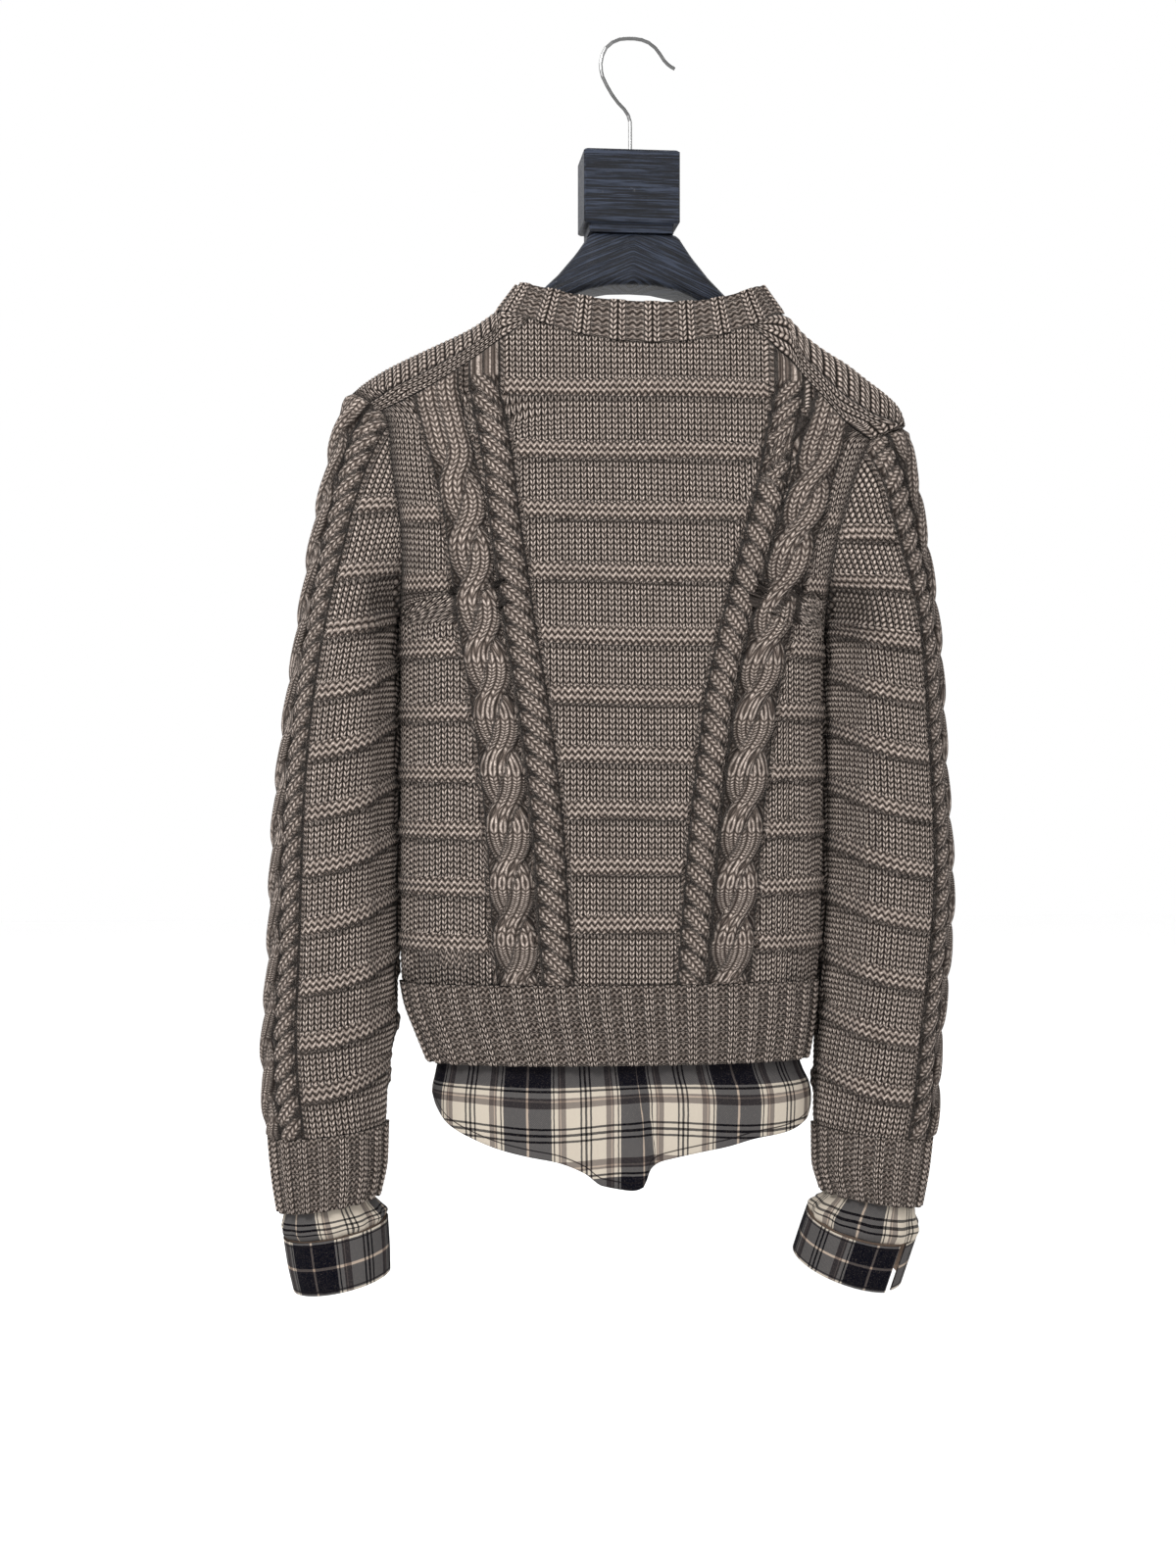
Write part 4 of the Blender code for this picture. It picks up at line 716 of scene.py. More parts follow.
def wool():
    """Heather wool: V stitches, purl bumps on the garter ridges, flecks, short fuzz, painted shade and
    painted highlights.
    """
    look = Look("heather wool knit", 0.95)
    across, down = look.layer("stitch")
    ridge, shade = look.layer("relief")
    leg = (((across.fract() * 2.0) - 1.0).size() * -1.0) + 1.0
    beat = down - leg * LEAN
    legs = leg.over(-0.1, 0.5) * ((leg.over(1.0, 0.7) * 0.55) + 0.45)
    along = (beat.fract() * math.pi).sine()
    knit = legs * ((along ** 1.1) * 0.85 + 0.15)
    sway = (across * math.tau).sine() * 0.24
    strand = (((((ridge * 1.5) - sway).fract() - 0.5).size() * -2.0) + 1.0).held()
    bumps = (((across + 0.25) * math.tau).sine() * 0.12) + 0.88
    purl = (strand ** 0.8) * bumps * 0.82 + 0.10
    inside = (ridge.size() * -1.0 + 1.06).over(0.0, 0.1)
    corded = (knit * 0.62) + 0.20
    height = knit.to(purl, inside).to(corded, ridge.over(4.0, 5.0))
    place = look.place()
    fleck = look.noise(place, 620.0, 3.0, 0.75)
    patch = look.noise(place, 60.0, 2.0, 0.5)
    fuzz = look.noise(place, 2400.0, 2.0, 0.6)
    # painted shade: the low parts of the stitch pattern take the dark colour
    mid = look.blend(WOOL_SHADE_AND_FLECK, WOOL_MID, height.over(0.12, 0.62))
    # painted highlight: the stitch crowns take the light colour, more on light flecks
    light = look.blend(mid, WOOL_HIGHLIGHT_AND_FLECK, (fleck.over(0.40, 0.66) * 0.7 + 0.3) * height.over(0.45, 0.9))
    dull = look.blend(light, WOOL_SHADE_AND_FLECK, fleck.over(0.48, 0.30) * 0.55)
    # random darker patches, and the painted shade from the relief map
    tone = look.blend(dull, WOOL_SHADE_AND_FLECK, (patch.over(0.35, 0.75) * 0.12) + shade * 0.8)
    look.shader.inputs["Sheen Weight"].default_value = 0.04
    look.shader.inputs["Specular IOR Level"].default_value = 0.04
    grain = look.bump(fuzz, 0.0004, 0.5)
    return look.finish(tone, look.bump(height, 0.0022, 1.0, grain))


CREAM, BEIGE, TAUPE = (0.56, 0.52, 0.465), (0.40, 0.33, 0.28), (0.16, 0.135, 0.125)
NAVY, BLACK = (0.002, 0.0035, 0.014), (0.006, 0.005, 0.006)
# colours along one repeat of the plaid, from the middle of a navy stripe: share of the half gap, colour
NAVY_HALF = 18.5
GAP_STRIPES = ((0.0, CREAM), (0.045, BLACK), (0.09, CREAM), (0.20, TAUPE), (0.25, BEIGE), (0.28, TAUPE),
               (0.42, CREAM), (0.84, BLACK), (0.885, CREAM), (0.97, BLACK))


def plaid_stops(gap):
    """Colour stops of one whole repeat: half a navy stripe, the gap and the other half."""
    repeat = gap + 2 * NAVY_HALF
    stops = [(0.0, BEIGE), (0.9 / repeat, NAVY)]
    for share, colour in GAP_STRIPES:
        stops.append(((NAVY_HALF + share * gap / 2) / repeat, colour))
    ends = [share for share, _ in GAP_STRIPES] + [1.0]
    for number in range(len(GAP_STRIPES) - 1, -1, -1):
        stops.append(((NAVY_HALF + gap - ends[number + 1] * gap / 2) / repeat, GAP_STRIPES[number][1]))
    stops.append(((NAVY_HALF + gap) / repeat, NAVY))
    stops.append((1 - 0.9 / repeat, BEIGE))
    return stops, repeat


def cotton():
    """Plaid shirting: warp and weft stripes, a fine twill, a stitched narrow hem and painted shade under the
    knit.
    """
    look = Look("plaid shirt cotton", 0.88)
    across, down = look.layer("stitch")
    edge, shade = look.layer("relief")
    warp_stops, warp_repeat = plaid_stops(53.0)
    weft_stops, weft_repeat = plaid_stops(69.0)
    place = look.place()
    soft = look.noise(place, 240.0, 2.0)
    warp = look.ramp(((across + soft * 0.5) * (1 / warp_repeat)).fract(), warp_stops)
    weft = look.ramp(((down + soft * 0.5) * (1 / weft_repeat)).fract(), weft_stops)
    twill = ((across + down) * (math.tau / 1.3)).sine() * 0.16 + 0.5
    woven = look.blend(look.blend(warp, weft, twill), look.blend(warp, weft, 1.0, "MULTIPLY"), 0.80)
    thread = look.noise(place, 1500.0, 2.0, 0.7)
    worn = look.blend(woven, BEIGE, thread.over(0.5, 0.8) * 0.12)
    stitched = ((edge - 5.2).size() * -1.0 + 0.62).over(0.0, 0.3)
    seamed = look.blend(worn, BLACK, stitched * 0.85)
    # painted shade from the relief map: under the hem rib and under the knit cuffs
    tone = look.blend(seamed, BLACK, shade * 0.8)
    crease = look.noise(look.place((1.0, 1.0, 0.35)), 55.0, 3.0)
    look.shader.inputs["Specular IOR Level"].default_value = 0.04
    grain = look.bump(thread, 0.0002, 0.4)
    rolled = look.bump((edge - 5.2).size().over(0.0, 0.9), 0.0006, 0.5, grain)
    return look.finish(tone, look.bump(crease, 0.004, 0.45, rolled))


STAIN_DARK, STAIN_LIGHT = (0.0015, 0.002, 0.004), (0.020, 0.026, 0.042)


def wood():
    """Near-black stained wood whose open grain runs along each arm."""
    look = Look("black open-grain wood", 0.5)
    along, across = look.layer("stitch")
    warped = look.noise(look.vector(along * 0.010, across * 0.06), 1.0, 2.0)
    grain = look.noise(look.vector(along * 0.022, across * 0.75 + warped * 3.0), 1.0, 4.0, 0.7)
    pores = grain.over(0.44, 0.60)
    streak = look.noise(look.vector(along * 0.05, across * 2.2, 3.0), 1.0, 3.0, 0.75)
    scuff = look.noise(look.place(), 90.0, 3.0, 0.7).over(0.70, 0.80)
    base = look.blend(STAIN_DARK, STAIN_LIGHT, pores)
    lined = look.blend(base, (0.055, 0.062, 0.080), streak.over(0.60, 0.72) * 0.6)
    tone = look.blend(lined, (0.14, 0.14, 0.15), scuff * 0.6)
    look.shader.inputs["Specular IOR Level"].default_value = 0.22
    height = pores * 0.6 + streak * 0.6
    return look.finish(tone, look.bump(height, 0.0006, 0.7))


def steel():
    look = Look("hook steel wire", 0.32, 1.0)
    brushed = look.noise(look.place((1.0, 1.0, 1.0)), 700.0, 2.0)
    tone = look.blend((0.10, 0.10, 0.10), (0.17, 0.17, 0.17), brushed)
    return look.finish(tone, look.bump(brushed, 0.0001, 0.2))


LOOKS = {"wool": (wool(), "knit_wool"), "cotton": (cotton(), "shirt_cotton"),
         "wood": (wood(), "hanger_wood"), "steel": (steel(), "hook_steel")}


# ---- relief of the knit ----

# the cloth data's third number is the place across a garter ridge, from -1 to 1, or one of these
PLAIN, CABLE = 3.0, 6.0
# width of the purl gutter beside a cable in mm, and the painted shade in it
GUTTER, GUTTER_SHADE = 3.4, 0.42


def stitch_leg(across):
    """0 between two wales and 1 in the middle of a wale."""
    return 1 - np.abs(2 * (across % 1.0) - 1)


def stitch_height(across, beat):
    """Height of a V stitch, from its two legs and the dip where it tucks under the next."""
    legs = np.sin(math.pi * ((across * 2) % 1.0))
    return legs * (0.45 + 0.55 * np.sin(math.pi * (beat % 1.0)))


def highest(found):
    """Of several forms laid over one another, each a height first and then its cloth data, the one on top."""
    best = found[0]
    for form in found[1:]:
        take = form[0] > best[0]
        best = tuple(np.where(take, new, old) for new, old in zip(form, best))
    return best


def braid(p, down, half, way):
    """Two strands that cross once in each pitch: rise, stitch coordinates and shade at place p across."""
    found = []
    for number in (0, 1):
        turn = math.pi * (np.maximum(down, 0) / BRAID_PITCH + number)
        middle = -BRAID_SWAY * np.tanh(0.8 * np.cos(turn)) / math.tanh(0.8)
        over = 0.5 + 0.5 * np.tanh(2.0 * np.sin(turn) * way) / math.tanh(2.0)
        off = (p - middle) / STRAND_HALF
        full = np.sqrt(np.clip(1 - off ** 2, 0, 1))
        height = np.where(np.abs(off) < 1, 0.05 + (0.30 + 0.65 * over) * full, 0.0)
        slope = 0.5 * np.sin(turn) * math.pi / BRAID_PITCH * half
        across = 3 * (off + 1) / 2 + 0.5 * number
        along = down * np.sqrt(1 + slope ** 2 * 0.4) / COURSE - off * slope * 0.21 * half / COURSE
        # painted shade at each strand's edges and on the strand that passes under
        found.append((height, across, along, np.clip(1 - full, 0, 1) * 1.2 + 0.12 * (1 - over)))
    height, across, along, painted_shade = highest(found)
    return BRAID_HEIGHT * height, across, along, np.clip(painted_shade, 0, 0.95)


LOBE_TILT, LOBE_LONG, LOBE_WIDE = math.radians(48), 15.5, 6.6


def rope(p, down, half, way):
    """Plump lobes laid over one another, each slanting down to the side that way gives."""
    x, low = p * way * half, np.maximum(down, 0)
    found = []
    for step in (-1, 0, 1):
        y = low - (np.floor(low / ROPE_LOBE) + step + 0.5) * ROPE_LOBE
        along = x * math.cos(LOBE_TILT) + y * math.sin(LOBE_TILT)
        across = y * math.cos(LOBE_TILT) - x * math.sin(LOBE_TILT)
        full = 1 - np.abs(along / LOBE_LONG) ** 2.6 - (across / LOBE_WIDE) ** 2
        full = np.sqrt(np.clip(full, 0, 1))
        height = np.where(full > 0, 0.04 + full * (0.8 + 0.2 * along / LOBE_LONG), 0.0)
        # painted shade round each lobe's edge, between the lobes
        found.append((height, across / LOBE_WIDE + 1, along / COURSE, np.clip(1 - full, 0, 1) * 1.3))
    height, across, along, painted_shade = highest(found)
    return ROPE_HEIGHT * height, across, along, np.clip(painted_shade, 0, 0.95)


def lay_cable(out, p, down, half, kind, way, top=None):
    """Sets a cable and the gutters beside it into the relief."""
    found = rope(p, down, half, way) if kind == "rope" else braid(p, down, half, way)
    on = np.ones_like(p, bool) if top is None else top
    inside = (np.abs(p) < 1) & on
    for key, values in zip(("rise", "across", "along", "shade"), found):
        out[key] = np.where(inside, values, out[key])
    out["ridge"] = np.where(inside, CABLE, out["ridge"])
    gutter = on & ~inside & (np.abs(p) < 1 + GUTTER / half)
    floor = -1.1 * np.sin(math.pi * np.clip((np.abs(p) - 1) * half / GUTTER, 0, 1)) + 0.2
    out["rise"] = np.where(gutter, floor, out["rise"])
    out["ridge"] = np.where(gutter, (out["along"] % 2 - 1) * 0.66, out["ridge"])
    # painted shade in the sunk gutter
    out["shade"] = np.where(gutter, GUTTER_SHADE, out["shade"])


def panel_relief(across, along, beat, ridge):
    """Relief of a panel before its cables: stitches, and garter ridges where ridge is within 1."""
    on = np.abs(ridge) < 1
    rows = 0.72 + 0.28 * np.abs(np.sin(math.pi * ridge))
    wave = 0.25 * np.sin(math.tau * (across + 0.5 * np.floor(ridge)))
    crown = (1 - smooth(0.55, 1.12, np.abs(ridge))) * (GARTER_RISE - PANEL_RISE + 0.6)
    rise = PANEL_RISE + crown * (rows + np.where(on, wave, 0) * 0.6)
    rise = rise + np.where(on, 0, STITCH * (stitch_height(across, beat) - 0.5))
    # painted shadow just under each garter ridge
    under = 0.7 * np.exp(-((ridge + 1.18) / 0.22) ** 2)
    return {"rise": rise, "across": across, "along": along, "ridge": np.where(on, ridge, PLAIN),
            "shade": under}


def nearest_ridge(z, heights):
    """Signed distance to the nearest garter ridge, 1 at its edges and positive above it."""
    away = (z[..., None] - heights) / RIDGE_HALF
    pick = np.argmin(np.abs(away), axis=-1)
    return np.take_along_axis(away, pick[..., None], -1)[..., 0]


def data_of(out):
    return np.stack([out["across"], out["along"], out["ridge"], out["shade"]], -1)


# ---- body ----

# columns stand straight down up to this far from the middle, and fan out from there to the sides
STRAIGHT = 100.0
LEFT_MID, RIGHT_MID = -181.2, 150.2
# the neck's edge on the back panel, and the height above which no column is looked for
UNDER_LEFT, UNDER_RIGHT = -94, 91
COLUMN_TOP = -215.0
INNER_STEP = 7.0


def column_x(place, z):
    """x at height z of the column that stands at that place at mid height."""
    left, right = side_x(LEFT_SIDE, z), side_x(RIGHT_SIDE, z)
    fan_left = -STRAIGHT + (place + STRAIGHT) * (left + STRAIGHT) / (LEFT_MID + STRAIGHT)
    fan_right = STRAIGHT + (place - STRAIGHT) * (right - STRAIGHT) / (RIGHT_MID - STRAIGHT)
    return np.where(place < -STRAIGHT, fan_left, np.where(place > STRAIGHT, fan_right, place))


def column_s(place, z):
    """s of those columns at height z; the two edge columns keep to the edges."""
    s = s_of_x(column_x(place, z), z)
    s[..., 0], s[..., -1] = -1 + TRIM, 1 - TRIM
    return s


def solve(height_at, s, start=-240.0):
    """Height at which columns at s meet an edge whose height depends on x."""
    z = np.full_like(s, start)
    for _ in range(40):
        x = body_x(s, z, follow(BODY_DEPTH, 1, z))
        z = 0.5 * z + 0.5 * height_at(s, x)
    return z, x


def solve_columns(height_at, place, start=-240.0):
    """Height, x and s at which the straight columns meet such an edge."""
    z = np.full_like(place, start)
    for _ in range(24):
        s = column_s(place, z)
        x = body_x(s, z, follow(BODY_DEPTH, 1, z))
        z = 0.5 * z + 0.5 * height_at(s, x)
    return z, x, s


def body_columns():
    """Place at mid height and wale number of each column, evenly spaced along the cloth."""
    s = np.linspace(-1, 1, 801)
    points = body_point(s, -way_down(s, np.full_like(s, -600.0)))
    length = lengths(points)
    length -= length[400]
    low, high = length[0] + 1.2, length[-1] - 1.2
    numbers = np.arange(math.ceil(low / WALE * 4), math.floor(high / WALE * 4) + 1)
    inside = np.interp(numbers * WALE / 4, length, points[:, 0])
    places = np.concatenate([[points[0, 0]], inside, [points[-1, 0]]])
    across = np.concatenate([[numbers[0] / 4 - 0.2], numbers / 4, [numbers[-1] / 4 + 0.2]])
    return places, across


def bend_start(s):
    """What turns the way over the shoulder into the course count."""
    radius = ridge_radius(s)
    return -ridge_height(s) + radius - radius * math.pi / 2


ROPE_TURN = -342.0
BRAID_TOP = -336.5 + BRAID_PITCH / 2
SIDE_RIDGES = np.arange(len(GARTERS)) > 1
FRONT_CABLES = -300.0


def body_relief(s, across, along, beat, point, front):
    x, z = point[..., 0], point[..., 2]
    middles = [follow(CABLES, column, z) for column in (1, 2, 3, 4)]
    beside = (x < middles[1]) | (x > middles[2])
    sag = np.where(beside[..., None], np.where(SIDE_RIDGES, GARTERS[:, 1], 900.0), 0.0)
    wander = 0.8 * np.sin(x / 31.0 + z / 90.0)
    out = panel_relief(across, along, beat, nearest_ridge(z + wander, GARTERS[:, 0] - sag))
    top = z < (FRONT_CABLES if front else 0.0)
    for column, (middle, kind) in enumerate(zip(middles, ("braid", "rope", "rope", "braid"))):
        half = ROPE_HALF if kind == "rope" else BRAID_HALF
        down = (ROPE_START if kind == "rope" else BRAID_TOP) - z
        way = -1.0 if kind == "braid" else 1.0
        if column == 2:
            way = np.where(z > ROPE_TURN, -1.0, 1.0)
        lay_cable(out, (x - middle) / half, down, half, kind, way, top)
    # the relief fades out at the side seams, where painted shade darkens the cloth
    fade = smooth(0.0, 0.035, 1 - np.abs(s))
    out["rise"] = out["rise"] * fade
    out["shade"] = np.maximum(out["shade"], 0.6 * (1 - fade))
    return out


def body_panel(front):
    sign = 1.0 if front else -1.0
    place, across = body_columns()
    if front:
        z_over, x, s_over = solve_columns(strip_top, place)
        z_neck, _, s_neck = solve_columns(lambda _, x: neck_height(x, True), place)
        neck = (x > OVER_LEFT) & (x < OVER_RIGHT)
        s_top = np.where(neck, s_neck, s_over)
        start = np.where(neck, way_down(s_neck, z_neck - NECK_GAP_FRONT),
                         -way_down(s_over, z_over + SEAM_HALF))
    else:
        z_top, x, s_top = solve_columns(strip_bottom, place)
        neck = (x > UNDER_LEFT) & (x < UNDER_RIGHT)
        start = way_down(s_top, z_top - SEAM_HALF)
    hem = np.full_like(place, HEM_SEAM + SEAM_HALF)
    s_hem = column_s(place, hem)
    stop = way_down(s_hem, hem)
    shift = bend_start(s_top)
    first = math.floor(2 * (start + shift).min() / COURSE) / 2
    beats = np.arange(first, -HEM_SEAM / COURSE + 1, 0.5)
    way = COURSE * (beats[:, None] + LEAN * stitch_leg(across)) - shift
    way = np.concatenate([start[None], way, stop[None]])
    keep = np.ones(way.shape, bool)
    keep[1:-1] = (way[1:-1] > start + 0.9) & (way[1:-1] < stop - 0.9)
    columns = straight(place, sign * way, s_top)
    point = body_point(columns, sign * way)
    out = normals(body_point, columns, sign * way)
    along = (way + shift) / COURSE
    wales = np.broadcast_to(across, way.shape)
    relief = body_relief(columns, wales, along, along - LEAN * stitch_leg(wales), point, front)
    ends = np.minimum(smooth(0, 5, way - start), smooth(0, 4, stop - way) * 0.6 + 0.4)
    face = point + out * (relief["rise"] * ends)[..., None]
    # painted shade along the panel's top seam
    relief["shade"] = np.maximum(relief["shade"], 0.5 * (1 - smooth(0, 3, way - start)))
    cloth = data_of(relief)
    wall = Wall()
    outer = []
    order = range(len(place))[::-1] if front else range(len(place))
    for number, k in enumerate(order):
        rows = keep[:, k]
        outer.append(wall.line(face[rows, k], along[rows, k], number, cloth[rows, k]))
    inner = inner_body(wall, front, place, s_top, start, stop, shift, neck, list(order))
    wall.close(outer, inner)
    name = "front_panel" if front else "back_panel"
    return wall.build(name + "_knit", name, "wool")


def straight(place, way, s_top):
    """s of the straight columns at each way down, found from their own heights."""
    s = np.broadcast_to(s_top, way.shape)
    for _ in range(3):
        z = np.minimum(body_point(s, way)[..., 2], COLUMN_TOP)
        s = column_s(np.broadcast_to(place, way.shape), z)
    return s


def inner_body(wall, front, place, s_top, start, stop, shift, neck, order):
    """Plain inside of a body panel, coarser than its face and 3 mm behind it."""
    sign = 1.0 if front else -1.0
    inner = []
    last = len(place) - 1
    for number, k in enumerate(order):
        edge = k in (0, last)
        if not edge and (k % 8 or min(k, last - k) < 6):
            continue
        between = np.arange(start[k] + INNER_STEP, stop[k] - 5.0, INNER_STEP)
        rows = np.concatenate([[start[k]], between, [stop[k]]])
        column = np.full_like(rows, s_top[k])
        if edge:
            point = body_point(column, sign * rows)
            out = -armhole_inward(point, -math.copysign(1, s_top[k]))
        else:
            for _ in range(3):
                z = np.minimum(body_point(column, sign * rows)[..., 2], COLUMN_TOP)
                column = s_of_x(column_x(np.full_like(rows, place[k]), z), z)
            point = body_point(column, sign * rows)
            out = normals(body_point, column, sign * rows)
            if neck[k]:
                out = level_end(out, 0)
        out = level_end(out, -1)
        inner.append(wall.line(point - out * KNIT_WALL, (rows + shift[k]) / COURSE, number))
    return inner


def shoulder_strip(side):
    """Narrow strip along the shoulder with three wales that run towards the neck."""
    table = np.array(STRIP_LEFT if side < 0 else STRIP_RIGHT)
    table = table[np.argsort(table[:, 0])]
    x = np.arange(table[0, 0], table[-1, 0] + 0.1, 1.1)
    s = s_of_x(x, np.full_like(x, -240.0))
    for _ in range(30):
        z_low, _ = solve(strip_bottom, s)
        s = s_of_x(x, z_low)
    if side < 0:
        s[0] = -1 + EDGE_TRIM
    else:
        s[-1] = 1 - EDGE_TRIM
    z_low, x_low = solve(strip_bottom, s)
    z_high, _ = solve(strip_top, s)
    share = np.interp(x, table[:, 0], table[:, 1])
    z_high = z_high + (neck_height(x_low, False) - NECK_GAP_BACK - z_high) * share
    low = z_low + STRIP_GAP
    high = np.maximum(z_high - STRIP_GAP, low + 0.2)
    steps = np.linspace(0, 1, 13)
    z = high + (low - high) * steps[:, None]
    columns = np.broadcast_to(s, z.shape)
    point = body_point(columns, -way_down(columns, z))
    out = normals(body_point, columns, -way_down(columns, z))
    length = lengths(point[6])
    wales = np.broadcast_to(steps[:, None] * 3, z.shape)
    along = np.broadcast_to(length / COURSE * side, z.shape)
    rise = STRIP_RISE * stitch_height(wales, along - LEAN * stitch_leg(wales)) * 1.2
    edge = np.sin(math.pi * np.clip(steps, 0.02, 0.98))[:, None] ** 0.4
    # painted shade along the strip's two seams
    shade = np.clip(0.8 - edge, 0, 1) + 0 * z
    cloth = np.stack([wales, along, np.full_like(z, PLAIN), shade], -1)
    wall = Wall()
    outer, inner = [], []
    for k in range(len(s)):
        face = point[:, k] + out[:, k] * (rise[:, k] * edge[:, 0])[:, None]
        outer.append(wall.line(face, steps, k, cloth[:, k]))
        if k % 8 == 0 or k == len(s) - 1:
            rows = [0, 6, 12]
            direction = out[rows, k]
            if k in (0, len(s) - 1) and (k == 0) == (side < 0):
                direction = -armhole_inward(point[rows, k], -float(side))
            inner.append(wall.line(point[rows, k] - direction * KNIT_WALL, steps[rows], k))
    wall.close(outer, inner)
    name = "shoulder_strip_" + SIDES[side]
    return wall.build(name + "_knit", name, "wool")


# ---- sleeves ----

CREASE_DEPTH = 6.0
# folds across the back of a sleeve beside the body: height, rise, slant
SLEEVE_FOLDS = ((-463, 1.8, 40.0), (-520, 1.4, 30.0), (-640, 1.2, 26.0), (-742, 1.5, 24.0))


def sleeve_crease(side, t, v):
    """Depth of the long hollow between the sleeve's back and the body, and of the folds across it."""
    hollow = smooth(-0.66, -0.76, t) * (1 - smooth(-0.97, -1.0, t)) * smooth(-395, -450, v)
    hollow = hollow * (1 - 0.8 * smooth(-700, -830, v))
    depth = -CREASE_DEPTH * hollow
    at_edge = 1 - smooth(-0.96, -1, t)
    for height, rise, slant in SLEEVE_FOLDS:
        away = v - height - slant * (t + 0.8)
        depth = depth + rise * np.exp(-(away / 9.0) ** 2) * smooth(-0.55, -0.8, t) * at_edge
        depth = depth - rise * np.exp(-((away + 15) / 6.0) ** 2) * smooth(-0.6, -0.8, t) * at_edge
    wave = 1.0 * np.sin(v / 37.0 + 3.0 * t + side) * np.sin(math.pi * np.clip((t + 1) / 2, 0, 1)) ** 0.5
    return depth + wave * smooth(-330, -420, v) * smooth(-848, -800, v)


def sleeve_face(side):
    """The sleeve as a surface whose u runs to the right of someone facing it, its back edge drawn in to the
    body below the armpit.
    """
    def surface(u, v):
        point = sleeve_point(side, u * side, v)
        body = side_x(LEFT_SIDE if side < 0 else RIGHT_SIDE, point[..., 2]) + side * 0.4
        near = smooth(-0.62, -0.98, u * side) * smooth(-440, -475, point[..., 2])
        near = near * (1 - smooth(-700, -725, point[..., 2]))
        point[..., 0] += near * (body - follow(SLEEVES[side], 3, v))
        return point
    return surface


def sleeve_table(side, v):
    """Length round the sleeve from its outer line, for rows at v and 241 places of u."""
    u = np.linspace(-1, 1, 241)
    length = lengths(sleeve_point(side, u[None] * side, v[:, None]))
    return u, length - length[:, 120:121]


# half of the way round a sleeve where its cables are placed
SLEEVE_MM = 163.0


def beside_body(t, v):
    """Soft shade where the sleeve's back tucks in beside the body, deepest under the arm."""
    tucked = smooth(-0.50, -0.80, t) * smooth(-400, -450, v) * (1 - 0.6 * smooth(-600, -760, v))
    pit = np.exp(-((v + 452 + 30 * (t + 0.8)) / 20.0) ** 2) * smooth(-0.45, -0.75, t)
    return 0.26 * tucked + 0.42 * pit


def sleeve_relief(side, t, mm, across, along, beat, v):
    ridges = np.array(SLEEVE_GARTERS_LEFT if side < 0 else SLEEVE_GARTERS_RIGHT, float)
    lift = 13.0 * smooth(-0.45, -1.0, t) * smooth(-430, -520, v)
    wander = 0.8 * np.sin(mm / 23.0 + v / 70.0)
    out = panel_relief(across, along, beat, nearest_ridge(v + wander - lift, ridges))
    table = SLEEVES[side]
    for middle, kind in SLEEVE_CABLES:
        half = ROPE_HALF if kind == "rope" else BRAID_HALF
        down = table[0, 0] - (4 if kind == "rope" else 10) - v
        way = side if middle > 0 else -side
        lay_cable(out, (mm - middle * SLEEVE_MM) / half, down, half, kind, float(way))
    return out


def sleeve(side):
    table = SLEEVES[side]
    top, bottom = table[0, 0] - CAP_GAP, table[-3, 0] + SEAM_HALF
    beats = np.arange(math.ceil(2 * -bottom / COURSE) / 2 - 0.5, -top / COURSE + 0.2, -0.5)
    rows_v = np.concatenate([[bottom], -COURSE * beats, [top]])
    u, length = sleeve_table(side, rows_v)
    edge = 1 - TRIM
    numbers = np.arange(-150, 151)
    wall = Wall()
    outer = []
    surface = sleeve_face(side)
    for j, v0 in enumerate(rows_v):
        low, high = np.interp([-edge, edge], u, length[j])
        quarters = numbers * WALE / 4
        inside = quarters[(quarters > low + 0.8) & (quarters < high - 0.8)]
        mm = np.concatenate([[low], inside, [high]])
        columns = np.interp(mm, length[j], u)
        across = mm / WALE
        level = j in (0, len(rows_v) - 1)
        v = np.full_like(mm, v0) if level else v0 - COURSE * LEAN * stitch_leg(across)
        v = np.clip(v, bottom + (0 if level else 0.8), top)
        if not level:
            v[0] = v[-1] = max(v0, bottom + 0.8)
        point = surface(columns, v)
        out = normals(surface, columns, v, 0.004, 0.8)
        t = columns * side
        along = -v / COURSE
        relief = sleeve_relief(side, t, mm * side, across, along, along - LEAN * stitch_leg(across), v)
        ends = smooth(0, 7, mm - low) * smooth(0, 7, high - mm) * smooth(0, 5, top - v)
        ends = ends * (0.4 + 0.6 * smooth(0, 4, v - bottom))
        rise = relief["rise"] * ends + sleeve_crease(side, t, v)
        # painted shade along the sleeve's seams, with the painted shade beside the body
        seam = 0.55 * (1 - smooth(0, 4, np.minimum(mm - low, high - mm)))
        relief["shade"] = np.clip(np.maximum(relief["shade"], seam) + beside_body(t, v), 0, 0.95)
        outer.append(wall.line(point + out * rise[:, None], mm, j, data_of(relief)))
    inner = inner_sleeve(wall, side, rows_v, u, length, surface, edge)
    wall.close(outer, inner)
    name = "sleeve_" + SIDES[side]
    return wall.build(name + "_knit", name, "wool")


def inner_sleeve(wall, side, rows_v, u, length, surface, edge):
    inner = []
    last = len(rows_v) - 1
    for j in range(last + 1):
        if j % 4 and j != last:
            continue
        if j == last - 1:
            continue
        columns = np.concatenate([[-edge], np.linspace(-0.93, 0.93, 33), [edge]])
        v = np.full_like(columns, rows_v[j])
        point = surface(columns, v)
        out = normals(surface, columns, v, 0.004, 0.8)
        seam = -armhole_inward(point, float(side))
        out[0], out[-1] = seam[0], seam[-1]
        if j == last:
            out = seam
        crease = np.minimum(sleeve_crease(side, columns * side, v), 0.0)
        mm = np.interp(columns, u, length[j])
        inner.append(wall.line(point + out * (crease - KNIT_WALL)[:, None], mm, j))
    return inner


# ---- ribs ----

def no_rise(share, v):
    """The rise of plain cloth."""
    return 0 * share


